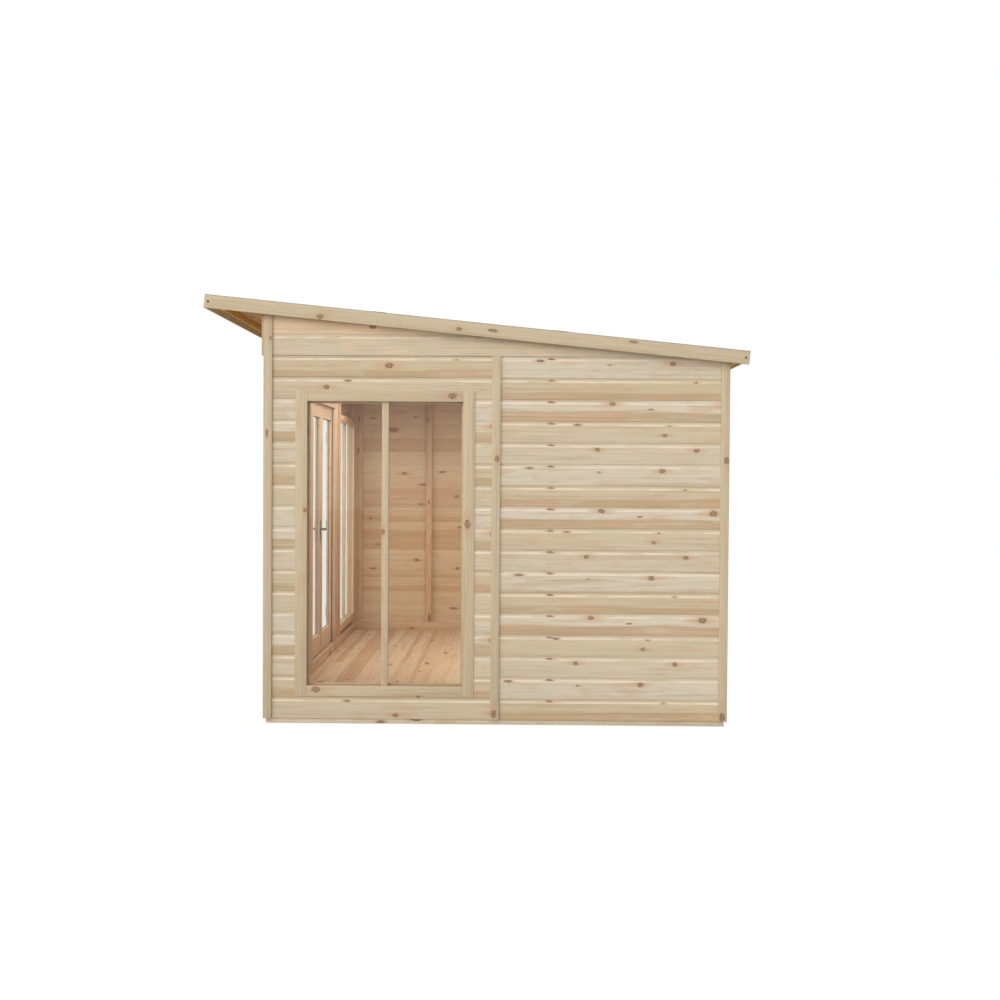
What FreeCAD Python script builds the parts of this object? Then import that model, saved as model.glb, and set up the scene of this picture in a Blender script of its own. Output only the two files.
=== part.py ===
"""Timber summerhouse with a single-pitch roof, double doors and three fixed windows.

Millimetres, +Z up. The origin is at the centre of the floor, on the ground under the
bearers. +X points to the end wall that has a window, -Y to the front with the doors.
"""
import FreeCAD, Part
import math
import os
import re
import Sketcher

# Driving dimensions, one cell each in the sheet.
SIZES = {
    # Wall panels: three along each long wall, two across each end between the long walls.
    "long_panel": 1205.0,
    "end_panel": 1161.0,
    "frame_depth": 44.0,
    "stud_width": 45.0,
    "bottom_plate_height": 65.0,
    "wall_top": 1932.0,
    "fit_gap": 0.3,
    # Floor.
    "bearer_height": 45.0,
    "bearer_width": 45.0,
    "floor_thickness": 12.0,
    # Cladding and cover strips.
    "clad": 12.0,
    "clad_bottom": 28.0,
    "strip_width": 45.0,
    "strip_thickness": 12.0,
    # Fixed windows: face boards lap the studs, sill and head round the clear glass.
    "glass_bottom": 201.0,
    "glass_head_drop": 239.0,
    "window_clear_width": 816.0,
    "window_side_lap": 17.5,
    "window_rail_lap": 10.0,
    "window_proud": 4.0,
    "mullion_width": 36.0,
    "mullion_depth": 24.0,
    "glass_setback": 14.0,
    "pane": 4.0,
    "bead_width": 9.0,
    # Doorway and leaves.
    "door_post_width": 63.0,
    "door_sill_height": 38.0,
    "door_head_drop": 137.0,
    "door_gap": 5.0,
    "leaf_meeting_gap": 6.0,
    "leaf_thickness": 33.0,
    "stop_width": 48.0,
    "stop_height": 27.0,
    "hinge_stile": 60.0,
    "meeting_stile": 52.5,
    "leaf_bottom_rail": 150.0,
    "leaf_top_rail": 108.0,
    "shoulder_gap": 0.2,
    "rebate_width": 12.0,
    "rebate_lip": 13.0,
    "pane_edge_gap": 2.0,
    # Butt hinges.
    "hinge_height": 75.0,
    "hinge_inset": 230.0,
    "knuckle_radius": 6.0,
    "knuckle_stand_off": 6.5,
    "knuckle_gap": 0.6,
    "hinge_pin_radius": 2.4,
    "pin_clearance": 0.3,
    "flap_thickness": 1.5,
    "flap_width": 26.0,
    # Lever handle on back plates.
    "lever_height": 844.0,
    "lever_edge_distance": 26.0,
    "lock_plate_above": 58.0,
    "lock_plate_below": 87.0,
    "lock_plate_width": 36.0,
    "lock_plate_thickness": 3.0,
    "lock_plate_corner": 6.0,
    "keyhole_drop": 55.0,
    "keyhole_radius": 5.0,
    "keyhole_slot": 6.0,
    "keyhole_length": 14.0,
    "spindle_radius": 5.0,
    "spindle_hole_radius": 10.0,
    "lever_neck_radius": 8.0,
    "lever_radius": 7.0,
    "lever_bend": 14.0,
    "lever_length": 105.0,
    "lever_projection": 45.0,
    # Roof.
    "roof_pitch": 5.637,
    "rear_rise": 25.5,
    "deck_thickness": 12.0,
    "felt_thickness": 2.0,
    "front_overhang": 297.5,
    "rear_overhang": 96.5,
    "end_overhang": 45.5,
    "bargeboard_thickness": 12.0,
    "bargeboard_height": 68.0,
    "rear_fascia_height": 48.0,
    "rafter_depth": 44.0,
    "batten": 30.0,
}

BEARER_COUNT = 7
RAFTER_COUNT = 5

# Size that a sketch's lines are drawn at before the sheet drives them.
DRAWN = 9.0

# Lengths that follow from the sheet, as expressions.
HALF_LENGTH = "(3 * long_panel / 2)"
HALF_DEPTH = "(end_panel + frame_depth)"
ROOM_HALF_LENGTH = f"({HALF_LENGTH} - frame_depth)"
ROOM_HALF_DEPTH = "end_panel"
CLAD_HALF_LENGTH = f"({HALF_LENGTH} + clad)"
CLAD_HALF_DEPTH = f"({HALF_DEPTH} + clad)"
CLAD_OUT = "(frame_depth + clad)"
STRIP_OUT = f"({CLAD_OUT} + strip_thickness)"
DOOR_PANEL_EDGE = "(long_panel / 2)"
FLOOR_TOP = "(bearer_height + floor_thickness)"
PLATE_TOP = f"({FLOOR_TOP} + bottom_plate_height)"
STUD_TOP = "(wall_top - stud_width)"
GLASS_TOP = "(wall_top - glass_head_drop)"
WINDOW_HALF = "(window_clear_width / 2)"
WINDOW_SIDE = "(stud_width + window_side_lap)"
WINDOW_LOW = "(glass_bottom - stud_width - window_rail_lap)"
WINDOW_HIGH = f"({GLASS_TOP} + stud_width + window_rail_lap)"
DOOR_HEAD_BOTTOM = "(wall_top - door_head_drop)"
DOORWAY_HALF = f"({DOOR_PANEL_EDGE} - door_post_width)"
SILL_TOP = f"({FLOOR_TOP} + door_sill_height)"
LEAF_BOTTOM = f"({SILL_TOP} + door_gap)"
LEAF_TOP = f"({DOOR_HEAD_BOTTOM} - door_gap)"
LEAF_IN = f"({CLAD_OUT} - leaf_thickness)"
LEAF_HINGE_EDGE = f"({DOORWAY_HALF} - door_gap)"
LEAF_MEETING_EDGE = "(leaf_meeting_gap / 2)"
HINGE_X = f"({DOORWAY_HALF} - door_gap / 2)"
HINGE_OUT = f"({CLAD_OUT} + knuckle_stand_off)"
HINGE_HEIGHTS = (
    f"({LEAF_BOTTOM} + hinge_inset)",
    f"(({LEAF_BOTTOM} + {LEAF_TOP}) / 2)",
    f"({LEAF_TOP} - hinge_inset)",
)
LEVER_X = f"({LEAF_MEETING_EDGE} + lever_edge_distance)"
LEVER_Z = f"({LEAF_BOTTOM} + lever_height)"
ROOF_FRONT = f"({CLAD_HALF_DEPTH} + front_overhang)"
ROOF_REAR = f"({CLAD_HALF_DEPTH} + rear_overhang)"
ROOF_RUN = f"(({ROOF_FRONT} + {ROOF_REAR}) / cos(roof_pitch))"
DECK_HALF_LENGTH = f"({CLAD_HALF_LENGTH} + end_overhang)"
ROOF_HALF_LENGTH = f"({DECK_HALF_LENGTH} + bargeboard_thickness)"
DECK_TOP = "felt_thickness"
DECK_BOTTOM = "(felt_thickness + deck_thickness)"

# A wall runs along one axis and faces outwards from the inner plane of its frame.
WALLS = {
    "front": ("x", -1, ROOM_HALF_DEPTH),
    "back": ("x", 1, ROOM_HALF_DEPTH),
    "window_end": ("y", 1, ROOM_HALF_LENGTH),
    "plain_end": ("y", -1, ROOM_HALF_LENGTH),
}
FRAME = ("0", "frame_depth")
CLADDING = ("frame_depth", CLAD_OUT)
STRIP = (CLAD_OUT, STRIP_OUT)
LEAF = (LEAF_IN, CLAD_OUT)

doc = FreeCAD.newDocument("Summerhouse")
sheet = doc.addObject("Spreadsheet::Sheet", "Sizes")
for row, (alias, value) in enumerate(SIZES.items(), start=1):
    sheet.set(f"A{row}", alias)
    sheet.set(f"B{row}", str(value))
    sheet.setAlias(f"B{row}", alias)
doc.recompute()

subparts = []


def bound(expression):
    """Point each size's name in an expression at its cell in the sheet."""
    return re.sub(r"[a-z_]+", lambda word: f"Sizes.{word[0]}" if word[0] in SIZES else word[0], expression)


def bind(item, prop, expression):
    """Tie one property of an object to an expression of the sheet's sizes."""
    item.setExpression(prop, bound(expression))


def flip(pair, side):
    """The same stretch on the other side of the middle when side is negative."""
    low, high = pair
    return (low, high) if side > 0 else (f"-({high})", f"-({low})")


def around(centre, width):
    """The stretch of a given width about a centre."""
    return f"{centre} - ({width}) / 2", f"{centre} + ({width}) / 2"


def block(x, y, z):
    """A squared piece between three (low, high) pairs."""
    piece = doc.addObject("Part::Box", "Piece")
    for prop, axis, (low, high) in (("Length", "x", x), ("Width", "y", y), ("Height", "z", z)):
        bind(piece, prop, f"({high}) - ({low})")
        bind(piece, f".Placement.Base.{axis}", low)
    return piece


def on_wall(wall, along, out, up):
    """A squared piece on a wall: along it, outwards from the frame's inner plane, and up."""
    run, side, plane = WALLS[wall]
    across = flip((f"{plane} + ({out[0]})", f"{plane} + ({out[1]})"), side)
    return block(along, across, up) if run == "x" else block(across, along, up)


def deck_underside(y):
    """Height of the roof deck's underside above the ground at a given y."""
    return f"(wall_top + rear_rise + tan(roof_pitch) * ({CLAD_HALF_DEPTH} - ({y})))"


def below_deck(drop):
    """Height at y of a line that lies a plumb distance below the deck's underside."""
    return lambda y: f"({deck_underside(y)} - ({drop}))"


def level(height):
    """A level line."""
    return lambda y: height


def plumb_ended(x, y, low, high):
    """A piece with plumb ends between two lines that give its heights at any y."""
    piece = doc.addObject("Part::Wedge", "Piece")
    for prop, value in (
        ("Xmin", x[0]), ("X2min", x[0]), ("Xmax", x[1]), ("X2max", x[1]),
        ("Ymin", y[0]), ("Ymax", y[1]),
        ("Zmin", low(y[0])), ("Zmax", high(y[0])), ("Z2min", low(y[1])), ("Z2max", high(y[1])),
    ):
        bind(piece, prop, value)
    return piece


def on_roof(x, run, depth):
    """A squared piece laid on the slope: run from the front eaves, depth below the felt's top."""
    piece = doc.addObject("Part::Box", "Piece")
    tipped = FreeCAD.Rotation(FreeCAD.Vector(-1, 0, 0), SIZES["roof_pitch"])
    piece.Placement = FreeCAD.Placement(FreeCAD.Vector(), tipped)
    for prop, (low, high) in (("Length", x), ("Width", run), ("Height", depth)):
        bind(piece, prop, f"({high}) - ({low})")
    eaves_top = f"({deck_underside(f'-{ROOF_FRONT}')} + {DECK_BOTTOM} / cos(roof_pitch))"
    bind(piece, ".Placement.Base.x", x[0])
    bind(piece, ".Placement.Base.y",
         f"-{ROOF_FRONT} + ({run[0]}) * cos(roof_pitch) - ({depth[1]}) * sin(roof_pitch)")
    bind(piece, ".Placement.Base.z",
         f"{eaves_top} - ({run[0]}) * sin(roof_pitch) - ({depth[1]}) * cos(roof_pitch)")
    bind(piece, ".Placement.Rotation.Angle", "roof_pitch")
    return piece


def round_bar(radius, start, direction, length):
    """A round bar from a start point along x, y or z."""
    piece = doc.addObject("Part::Cylinder", "Piece")
    turns = {
        "x": FreeCAD.Rotation(FreeCAD.Vector(0, 1, 0), 90),
        "y": FreeCAD.Rotation(FreeCAD.Vector(1, 0, 0), -90),
        "z": FreeCAD.Rotation(),
    }
    piece.Placement = FreeCAD.Placement(FreeCAD.Vector(), turns[direction])
    bind(piece, "Radius", radius)
    bind(piece, "Height", length)
    for axis, value in zip("xyz", start):
        bind(piece, f".Placement.Base.{axis}", value)
    return piece


def fused(pieces):
    """Pieces that are one solid."""
    body = doc.addObject("Part::MultiFuse", "Fused")
    body.Shapes = pieces
    return body


def cut(base, tool):
    """A piece less another."""
    body = doc.addObject("Part::Cut", "Cut")
    body.Base = base
    body.Tool = tool
    return body


def subpart(name, pieces):
    """Name one sub-part: a single piece, or several that don't touch."""
    if len(pieces) == 1:
        item = pieces[0]
    else:
        item = doc.addObject("Part::Compound", name)
        item.Links = pieces
    item.Label = name
    subparts.append(item)


def sketch_on(body, role, name):
    """A new sketch of a body on one of the body's own origin planes."""
    sketch = body.newObject("Sketcher::SketchObject", name)
    plane = next(feature for feature in body.Origin.OriginFeatures if feature.Role == role)
    sketch.AttachmentSupport = [(plane, "")]
    sketch.MapMode = "FlatFace"
    return sketch


def dimension(sketch, constraint, expression):
    """Add one driving dimension to a sketch and tie it to the sheet."""
    index = sketch.addConstraint(constraint)
    bind(sketch, f"Constraints[{index}]", expression)


def rectangle(sketch, left, right, low, high):
    """Four lines whose distances left, right, below and above the origin are tied to the sheet."""
    corners = [
        FreeCAD.Vector(x * DRAWN, y * DRAWN, 0) for x, y in ((-1, -1), (1, -1), (1, 1), (-1, 1))
    ]
    for start, end in zip(corners, corners[1:] + corners[:1]):
        sketch.addGeometry(Part.LineSegment(start, end))
    for line in range(4):
        sketch.addConstraint(Sketcher.Constraint("Coincident", line, 2, (line + 1) % 4, 1))
        sketch.addConstraint(Sketcher.Constraint("Vertical" if line % 2 else "Horizontal", line))
    dimension(sketch, Sketcher.Constraint("DistanceX", 0, 1, -1, 1, DRAWN), left)
    dimension(sketch, Sketcher.Constraint("DistanceX", -1, 1, 1, 1, DRAWN), right)
    dimension(sketch, Sketcher.Constraint("DistanceY", 0, 1, -1, 1, DRAWN), low)
    dimension(sketch, Sketcher.Constraint("DistanceY", -1, 1, 2, 1, DRAWN), high)


def circle(sketch, radius, drop):
    """A circle below the sketch's origin, with its radius and drop tied to the sheet."""
    index = sketch.addGeometry(Part.Circle(FreeCAD.Vector(0, -DRAWN, 0), FreeCAD.Vector(0, 0, 1), DRAWN))
    dimension(sketch, Sketcher.Constraint("Radius", index, DRAWN), radius)
    if drop is None:
        sketch.addConstraint(Sketcher.Constraint("Coincident", index, 3, -1, 1))
    else:
        sketch.addConstraint(Sketcher.Constraint("PointOnObject", index, 3, -2))
        dimension(sketch, Sketcher.Constraint("DistanceY", index, 3, -1, 1, DRAWN), drop)


def drill(body, sketch):
    """A pocket right through a plate that was padded from the same plane."""
    pocket = body.newObject("PartDesign::Pocket", "Hole")
    pocket.Profile = sketch
    pocket.Type = "ThroughAll"
    pocket.Reversed = True
    doc.recompute()


def panel_edges(wall):
    """The (low, high) stretches of a wall's panels, less half a gap at each joint."""
    if WALLS[wall][0] == "x":
        marks = [f"-{HALF_LENGTH}", f"-{DOOR_PANEL_EDGE}", DOOR_PANEL_EDGE, HALF_LENGTH]
    else:
        marks = [f"-{ROOM_HALF_DEPTH}", "0", ROOM_HALF_DEPTH]
    return [(f"{low} + fit_gap", f"{high} - fit_gap") for low, high in zip(marks, marks[1:])]


def middle(panel):
    """The middle of a panel."""
    return f"((({panel[0]}) + ({panel[1]})) / 2)"


def stud(wall, start):
    """One stud that starts at a place along its wall."""
    return on_wall(wall, (start, f"{start} + stud_width"), FRAME, (PLATE_TOP, STUD_TOP))


def edge_studs(wall, panel):
    """The two studs at the edges of a panel."""
    return [stud(wall, panel[0]), stud(wall, f"{panel[1]} - stud_width")]


def middle_stud(wall, panel):
    """The stud in the middle of a plain panel."""
    return [stud(wall, f"{middle(panel)} - stud_width / 2")]


def jamb_studs(wall, panel):
    """The two studs beside a window."""
    centre = middle(panel)
    return [stud(wall, f"{centre} - {WINDOW_HALF} - stud_width"), stud(wall, f"{centre} + {WINDOW_HALF}")]


def window_rails(wall, panel):
    """The sill and head between the studs beside a window."""
    along = around(middle(panel), "window_clear_width")
    return [
        on_wall(wall, along, FRAME, ("glass_bottom - stud_width", "glass_bottom")),
        on_wall(wall, along, FRAME, (GLASS_TOP, f"{GLASS_TOP} + stud_width")),
    ]


def cladding_with_window(wall, along, panel, top):
    """Cladding below, above and on each side of a window."""
    centre = middle(panel)
    half = f"({WINDOW_HALF} + {WINDOW_SIDE} + fit_gap)"
    return [
        on_wall(wall, along, CLADDING, ("clad_bottom", f"{WINDOW_LOW} - fit_gap")),
        on_wall(wall, along, CLADDING, (f"{WINDOW_HIGH} + fit_gap", top)),
        on_wall(wall, (along[0], f"{centre} - {half}"), CLADDING, (WINDOW_LOW, WINDOW_HIGH)),
        on_wall(wall, (f"{centre} + {half}", along[1]), CLADDING, (WINDOW_LOW, WINDOW_HIGH)),
    ]


def window_frame(wall, panel):
    """Face boards round the window, and the mullion in front of the glass."""
    centre = middle(panel)
    out = ("frame_depth", f"{CLAD_OUT} + window_proud")
    between = around(centre, "window_clear_width - 2 * fit_gap")
    mullion_in = "(glass_setback + pane)"
    pieces = [
        on_wall(wall, between, out, (WINDOW_LOW, "glass_bottom")),
        on_wall(wall, between, out, (GLASS_TOP, WINDOW_HIGH)),
        on_wall(wall, around(centre, "mullion_width"), (mullion_in, f"{mullion_in} + mullion_depth"),
                ("glass_bottom", GLASS_TOP)),
    ]
    for side in (-1, 1):
        low, high = flip((WINDOW_HALF, f"({WINDOW_HALF} + {WINDOW_SIDE})"), side)
        along = (f"{centre} + {low}", f"{centre} + {high}")
        pieces.append(on_wall(wall, along, out, (WINDOW_LOW, WINDOW_HIGH)))
    return pieces


def window_glass(wall, panel):
    """One sheet of glass behind the mullion."""
    along = around(middle(panel), "window_clear_width - 2 * fit_gap")
    up = ("glass_bottom + fit_gap", f"{GLASS_TOP} - fit_gap")
    return [on_wall(wall, along, ("glass_setback", "glass_setback + pane"), up)]


def window_beads(wall, panel):
    """Four beads that hold the glass from the inside."""
    centre = middle(panel)
    out = ("glass_setback - bead_width", "glass_setback")
    low, high = "glass_bottom", GLASS_TOP
    pieces = [
        on_wall(wall, around(centre, "window_clear_width"), out, (low, f"{low} + bead_width")),
        on_wall(wall, around(centre, "window_clear_width"), out, (f"{high} - bead_width", high)),
    ]
    for side in (-1, 1):
        inner, outer = flip((f"({WINDOW_HALF} - bead_width)", WINDOW_HALF), side)
        pieces.append(on_wall(wall, (f"{centre} + {inner}", f"{centre} + {outer}"), out,
                              (f"{low} + bead_width + shoulder_gap", f"{high} - bead_width - shoulder_gap")))
    return pieces


def hinge(side, height, on_leaf):
    """One half of a butt hinge: the leaf holds the middle knuckle, the post the outer two."""
    third = "(hinge_height / 3)"
    base = f"({height} - hinge_height / 2)"
    axis_y = f"-({ROOM_HALF_DEPTH} + {HINGE_OUT})"
    axis_x = f"({side} * {HINGE_X})"
    if on_leaf:
        edge = (LEAF_HINGE_EDGE, f"{LEAF_HINGE_EDGE} + flap_thickness")
        spans = [(f"{base} + {third} + knuckle_gap", f"{base} + 2 * {third} - knuckle_gap")]
    else:
        edge = (f"{DOORWAY_HALF} - flap_thickness", DOORWAY_HALF)
        spans = [(base, f"{base} + {third}"), (f"{base} + 2 * {third}", f"{base} + hinge_height")]
    flap_x = flip(edge, side)
    flap_out = (f"{CLAD_OUT} - flap_width", CLAD_OUT)
    pieces = [on_wall("front", flap_x, flap_out, (base, f"{base} + hinge_height"))]
    for low, high in spans:
        pieces.append(on_wall("front", flap_x, (CLAD_OUT, HINGE_OUT), (low, high)))
        pieces.append(round_bar("knuckle_radius", (axis_x, axis_y, low), "z", f"{high} - ({low})"))
    if on_leaf:
        bore = round_bar("hinge_pin_radius + pin_clearance", (axis_x, axis_y, base), "z", "hinge_height")
        return cut(fused(pieces), bore)
    pieces.append(round_bar("hinge_pin_radius", (axis_x, axis_y, base), "z", "hinge_height"))
    return fused(pieces)


def rebated(along, up, rebate_along, rebate_up):
    """A door leaf member with a rebate for the glass along its inner face."""
    rebate_out = (f"{LEAF_IN} - fit_gap", f"{CLAD_OUT} - rebate_lip")
    return cut(on_wall("front", along, LEAF, up), on_wall("front", rebate_along, rebate_out, rebate_up))


def door_members(side, rail_run, glass_low, glass_high):
    """The stiles and rails of a leaf, each rebated round the glass."""
    stile_up = (LEAF_BOTTOM, LEAF_TOP)
    sight_up = (f"{glass_low} - rebate_width", f"{glass_high} + rebate_width")
    meeting_out = f"({LEAF_MEETING_EDGE} + meeting_stile)"
    hinge_in = f"({LEAF_HINGE_EDGE} - hinge_stile)"
    meeting = rebated(
        flip((LEAF_MEETING_EDGE, meeting_out), side), stile_up,
        flip((f"{meeting_out} - rebate_width", f"{meeting_out} + fit_gap"), side), sight_up,
    )
    if side > 0:
        start = (LEVER_X, f"-({ROOM_HALF_DEPTH} + {CLAD_OUT})", LEVER_Z)
        meeting = cut(meeting, round_bar("spindle_hole_radius", start, "y", "leaf_thickness"))
    hinged = rebated(
        flip((hinge_in, LEAF_HINGE_EDGE), side), stile_up,
        flip((f"{hinge_in} - fit_gap", f"{hinge_in} + rebate_width"), side), sight_up,
    )
    bottom_rail = rebated(
        flip(rail_run, side), (LEAF_BOTTOM, glass_low),
        flip(rail_run, side), (f"{glass_low} - rebate_width", f"{glass_low} + fit_gap"),
    )
    top_rail = rebated(
        flip(rail_run, side), (glass_high, LEAF_TOP),
        flip(rail_run, side), (f"{glass_high} - fit_gap", f"{glass_high} + rebate_width"),
    )
    return [meeting, hinged, bottom_rail, top_rail]


def door_beads(side, opening, glass_low, glass_high):
    """Four beads that hold a leaf's glass in its rebates."""
    out = (LEAF_IN, f"{CLAD_OUT} - rebate_lip - pane")
    low = f"({glass_low} - rebate_width + shoulder_gap)"
    high = f"({glass_high} + rebate_width - shoulder_gap)"
    inner, outer = opening
    return [
        on_wall("front", flip(opening, side), out, (low, f"{low} + rebate_width")),
        on_wall("front", flip(opening, side), out, (f"{high} - rebate_width", high)),
        on_wall("front", flip((inner, f"{inner} + rebate_width"), side), out,
                (f"{low} + rebate_width + shoulder_gap", f"{high} - rebate_width - shoulder_gap")),
        on_wall("front", flip((f"{outer} - rebate_width", outer), side), out,
                (f"{low} + rebate_width + shoulder_gap", f"{high} - rebate_width - shoulder_gap")),
    ]


def lock_plate(name, out):
    """A back plate with rounded corners, a hole for the lever's neck and a keyhole."""
    body = doc.addObject("PartDesign::Body", name)
    outline = sketch_on(body, "XZ_Plane", "Outline")
    rectangle(outline, "lock_plate_width / 2", "lock_plate_width / 2", "lock_plate_below", "lock_plate_above")
    pad = body.newObject("PartDesign::Pad", "Plate")
    pad.Profile = outline
    bind(pad, "Length", "lock_plate_thickness")
    doc.recompute()
    spans = [edge.BoundBox for edge in pad.Shape.Edges]
    across = [f"Edge{index}" for index, span in enumerate(spans, start=1)
              if span.YLength > span.XLength + span.ZLength]
    corners = body.newObject("PartDesign::Fillet", "Corners")
    corners.Base = (pad, across)
    bind(corners, "Radius", "lock_plate_corner")
    doc.recompute()
    holes = sketch_on(body, "XZ_Plane", "Holes")
    circle(holes, "lever_neck_radius + pin_clearance", None)
    circle(holes, "keyhole_radius", "keyhole_drop")
    drill(body, holes)
    slot = sketch_on(body, "XZ_Plane", "Slot")
    rectangle(slot, "keyhole_slot / 2", "keyhole_slot / 2", "keyhole_drop + keyhole_length", "-keyhole_drop")
    drill(body, slot)
    for axis, value in zip("xyz", (LEVER_X, f"-({ROOM_HALF_DEPTH} + {out})", LEVER_Z)):
        bind(body, f".Placement.Base.{axis}", value)
    return body


def lever_arm(name, face, turn):
    """A round bar that comes straight off the plate, bends and runs towards the hinges."""
    body = doc.addObject("PartDesign::Body", name)
    path = sketch_on(body, "XY_Plane", "Path")
    bend, length = SIZES["lever_bend"], SIZES["lever_length"]
    out = SIZES["lever_projection"] - SIZES["lever_radius"]
    path.addGeometry(Part.LineSegment(FreeCAD.Vector(0, 0, 0), FreeCAD.Vector(0, bend - out, 0)))
    ring = Part.Circle(FreeCAD.Vector(bend, bend - out, 0), FreeCAD.Vector(0, 0, 1), bend)
    path.addGeometry(Part.ArcOfCircle(ring, math.pi, math.pi * 3 / 2))
    path.addGeometry(Part.LineSegment(FreeCAD.Vector(bend, -out, 0), FreeCAD.Vector(length, -out, 0)))
    path.addConstraint(Sketcher.Constraint("Coincident", 0, 1, -1, 1))
    path.addConstraint(Sketcher.Constraint("Vertical", 0))
    path.addConstraint(Sketcher.Constraint("Tangent", 0, 2, 1, 1))
    path.addConstraint(Sketcher.Constraint("Tangent", 1, 2, 2, 1))
    path.addConstraint(Sketcher.Constraint("Horizontal", 2))
    dimension(path, Sketcher.Constraint("Radius", 1, bend), "lever_bend")
    dimension(path, Sketcher.Constraint("DistanceY", 2, 2, -1, 1, out), "lever_projection - lever_radius")
    dimension(path, Sketcher.Constraint("DistanceX", -1, 1, 2, 2, length), "lever_length")
    section = sketch_on(body, "XZ_Plane", "Section")
    circle(section, "lever_radius", None)
    doc.recompute()
    arm = body.newObject("PartDesign::AdditivePipe", "Arm")
    arm.Profile = section
    arm.Spine = (path, [])
    doc.recompute()
    neck = sketch_on(body, "XZ_Plane", "Neck")
    circle(neck, "lever_neck_radius", None)
    collar = body.newObject("PartDesign::Pad", "Collar")
    collar.Profile = neck
    bind(collar, "Length", "lock_plate_thickness + lever_neck_radius")
    doc.recompute()
    body.Placement = FreeCAD.Placement(FreeCAD.Vector(), FreeCAD.Rotation(FreeCAD.Vector(1, 0, 0), turn))
    for axis, value in zip("xyz", (LEVER_X, f"-({ROOM_HALF_DEPTH} + {face})", LEVER_Z)):
        bind(body, f".Placement.Base.{axis}", value)
    return body


# Floor.
bearer_step = f"((2 * {HALF_LENGTH} - bearer_width) / {BEARER_COUNT - 1})"
floor_x, floor_y = (f"-{HALF_LENGTH}", HALF_LENGTH), (f"-{HALF_DEPTH}", HALF_DEPTH)
bearers = []
for index in range(BEARER_COUNT):
    start = f"(-{HALF_LENGTH} + {index} * {bearer_step})"
    bearers.append(block((start, f"{start} + bearer_width"), floor_y, ("0", "bearer_height")))
subpart("floor_bearers", bearers)
subpart("floor_deck", [block(floor_x, floor_y, ("bearer_height", FLOOR_TOP))])

# Wall frames.
front, back = panel_edges("front"), panel_edges("back")
ends = panel_edges("window_end")
plated = {"front": (front[0], front[2]), "back": back, "window_end": ends, "plain_end": ends}
subpart("bottom_plates", [
    on_wall(wall, panel, FRAME, (FLOOR_TOP, PLATE_TOP)) for wall, panels in plated.items() for panel in panels
])
subpart("top_plates", [
    on_wall(wall, panel, FRAME, (STUD_TOP, "wall_top")) for wall in WALLS for panel in panel_edges(wall)
])
WINDOWS = {
    "front_left": ("front", front[0]),
    "front_right": ("front", front[2]),
    "window_end": ("window_end", ends[0]),
}
plain_panels = [("back", panel) for panel in back] + [("window_end", ends[1])]
plain_panels += [("plain_end", panel) for panel in ends]
wall_studs = []
for wall, panel in WINDOWS.values():
    wall_studs += edge_studs(wall, panel) + jamb_studs(wall, panel)
for wall, panel in plain_panels:
    wall_studs += edge_studs(wall, panel) + middle_stud(wall, panel)
subpart("wall_studs", wall_studs)
subpart("window_rails", [piece for wall, panel in WINDOWS.values() for piece in window_rails(wall, panel)])

# Doorway.
doorway = (f"-{DOORWAY_HALF}", DOORWAY_HALF)
post_run = (DOORWAY_HALF, f"{DOOR_PANEL_EDGE} - fit_gap")
subpart("door_posts", [
    on_wall("front", flip(post_run, side), ("0", CLAD_OUT), (FLOOR_TOP, STUD_TOP)) for side in (-1, 1)
])
subpart("door_sill", [on_wall("front", doorway, ("0", CLAD_OUT), (FLOOR_TOP, SILL_TOP))])
subpart("door_head", [on_wall("front", doorway, FRAME, (DOOR_HEAD_BOTTOM, f"{DOOR_HEAD_BOTTOM} + stud_width"))])
stop_out = ("0", f"{LEAF_IN} - door_gap")
stop_top, stop_head = f"({SILL_TOP} + stop_height)", f"({DOOR_HEAD_BOTTOM} - stop_height)"
stop_run = (f"{DOORWAY_HALF} - stop_width", DOORWAY_HALF)
subpart("door_stops", [
    on_wall("front", doorway, stop_out, (SILL_TOP, stop_top)),
    on_wall("front", doorway, stop_out, (stop_head, DOOR_HEAD_BOTTOM)),
] + [
    on_wall("front", flip(stop_run, side), stop_out, (f"{stop_top} + fit_gap", f"{stop_head} - fit_gap"))
    for side in (-1, 1)
])

# Cladding. The long walls' boards cover the edges of the end walls' boards.
front_top = deck_underside(f"-{HALF_DEPTH}")
back_top = deck_underside(CLAD_HALF_DEPTH)
left_run = (f"-{CLAD_HALF_LENGTH}", f"-{DOOR_PANEL_EDGE} - fit_gap")
right_run = flip(left_run, -1)
door_panel = (f"-{DOOR_PANEL_EDGE}", DOOR_PANEL_EDGE)
subpart("front_cladding_left", cladding_with_window("front", left_run, front[0], front_top))
subpart("front_cladding_right", cladding_with_window("front", right_run, front[2], front_top))
subpart("front_cladding_middle", [
    on_wall("front", door_panel, CLADDING, ("clad_bottom", FLOOR_TOP)),
    on_wall("front", doorway, CLADDING, (DOOR_HEAD_BOTTOM, STUD_TOP)),
    on_wall("front", door_panel, CLADDING, (f"{STUD_TOP} + fit_gap", front_top)),
])
subpart("back_cladding", [
    on_wall("back", run, CLADDING, ("clad_bottom", back_top)) for run in (left_run, back[1], right_run)
])
end_runs = ((f"-{HALF_DEPTH} + fit_gap", "-fit_gap"), ("fit_gap", f"{HALF_DEPTH} - fit_gap"))
subpart("window_end_cladding", cladding_with_window("window_end", end_runs[0], ends[0], "wall_top") + [
    on_wall("window_end", end_runs[1], CLADDING, ("clad_bottom", "wall_top")),
])
subpart("plain_end_cladding", [
    on_wall("plain_end", run, CLADDING, ("clad_bottom", "wall_top")) for run in end_runs
])

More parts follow.
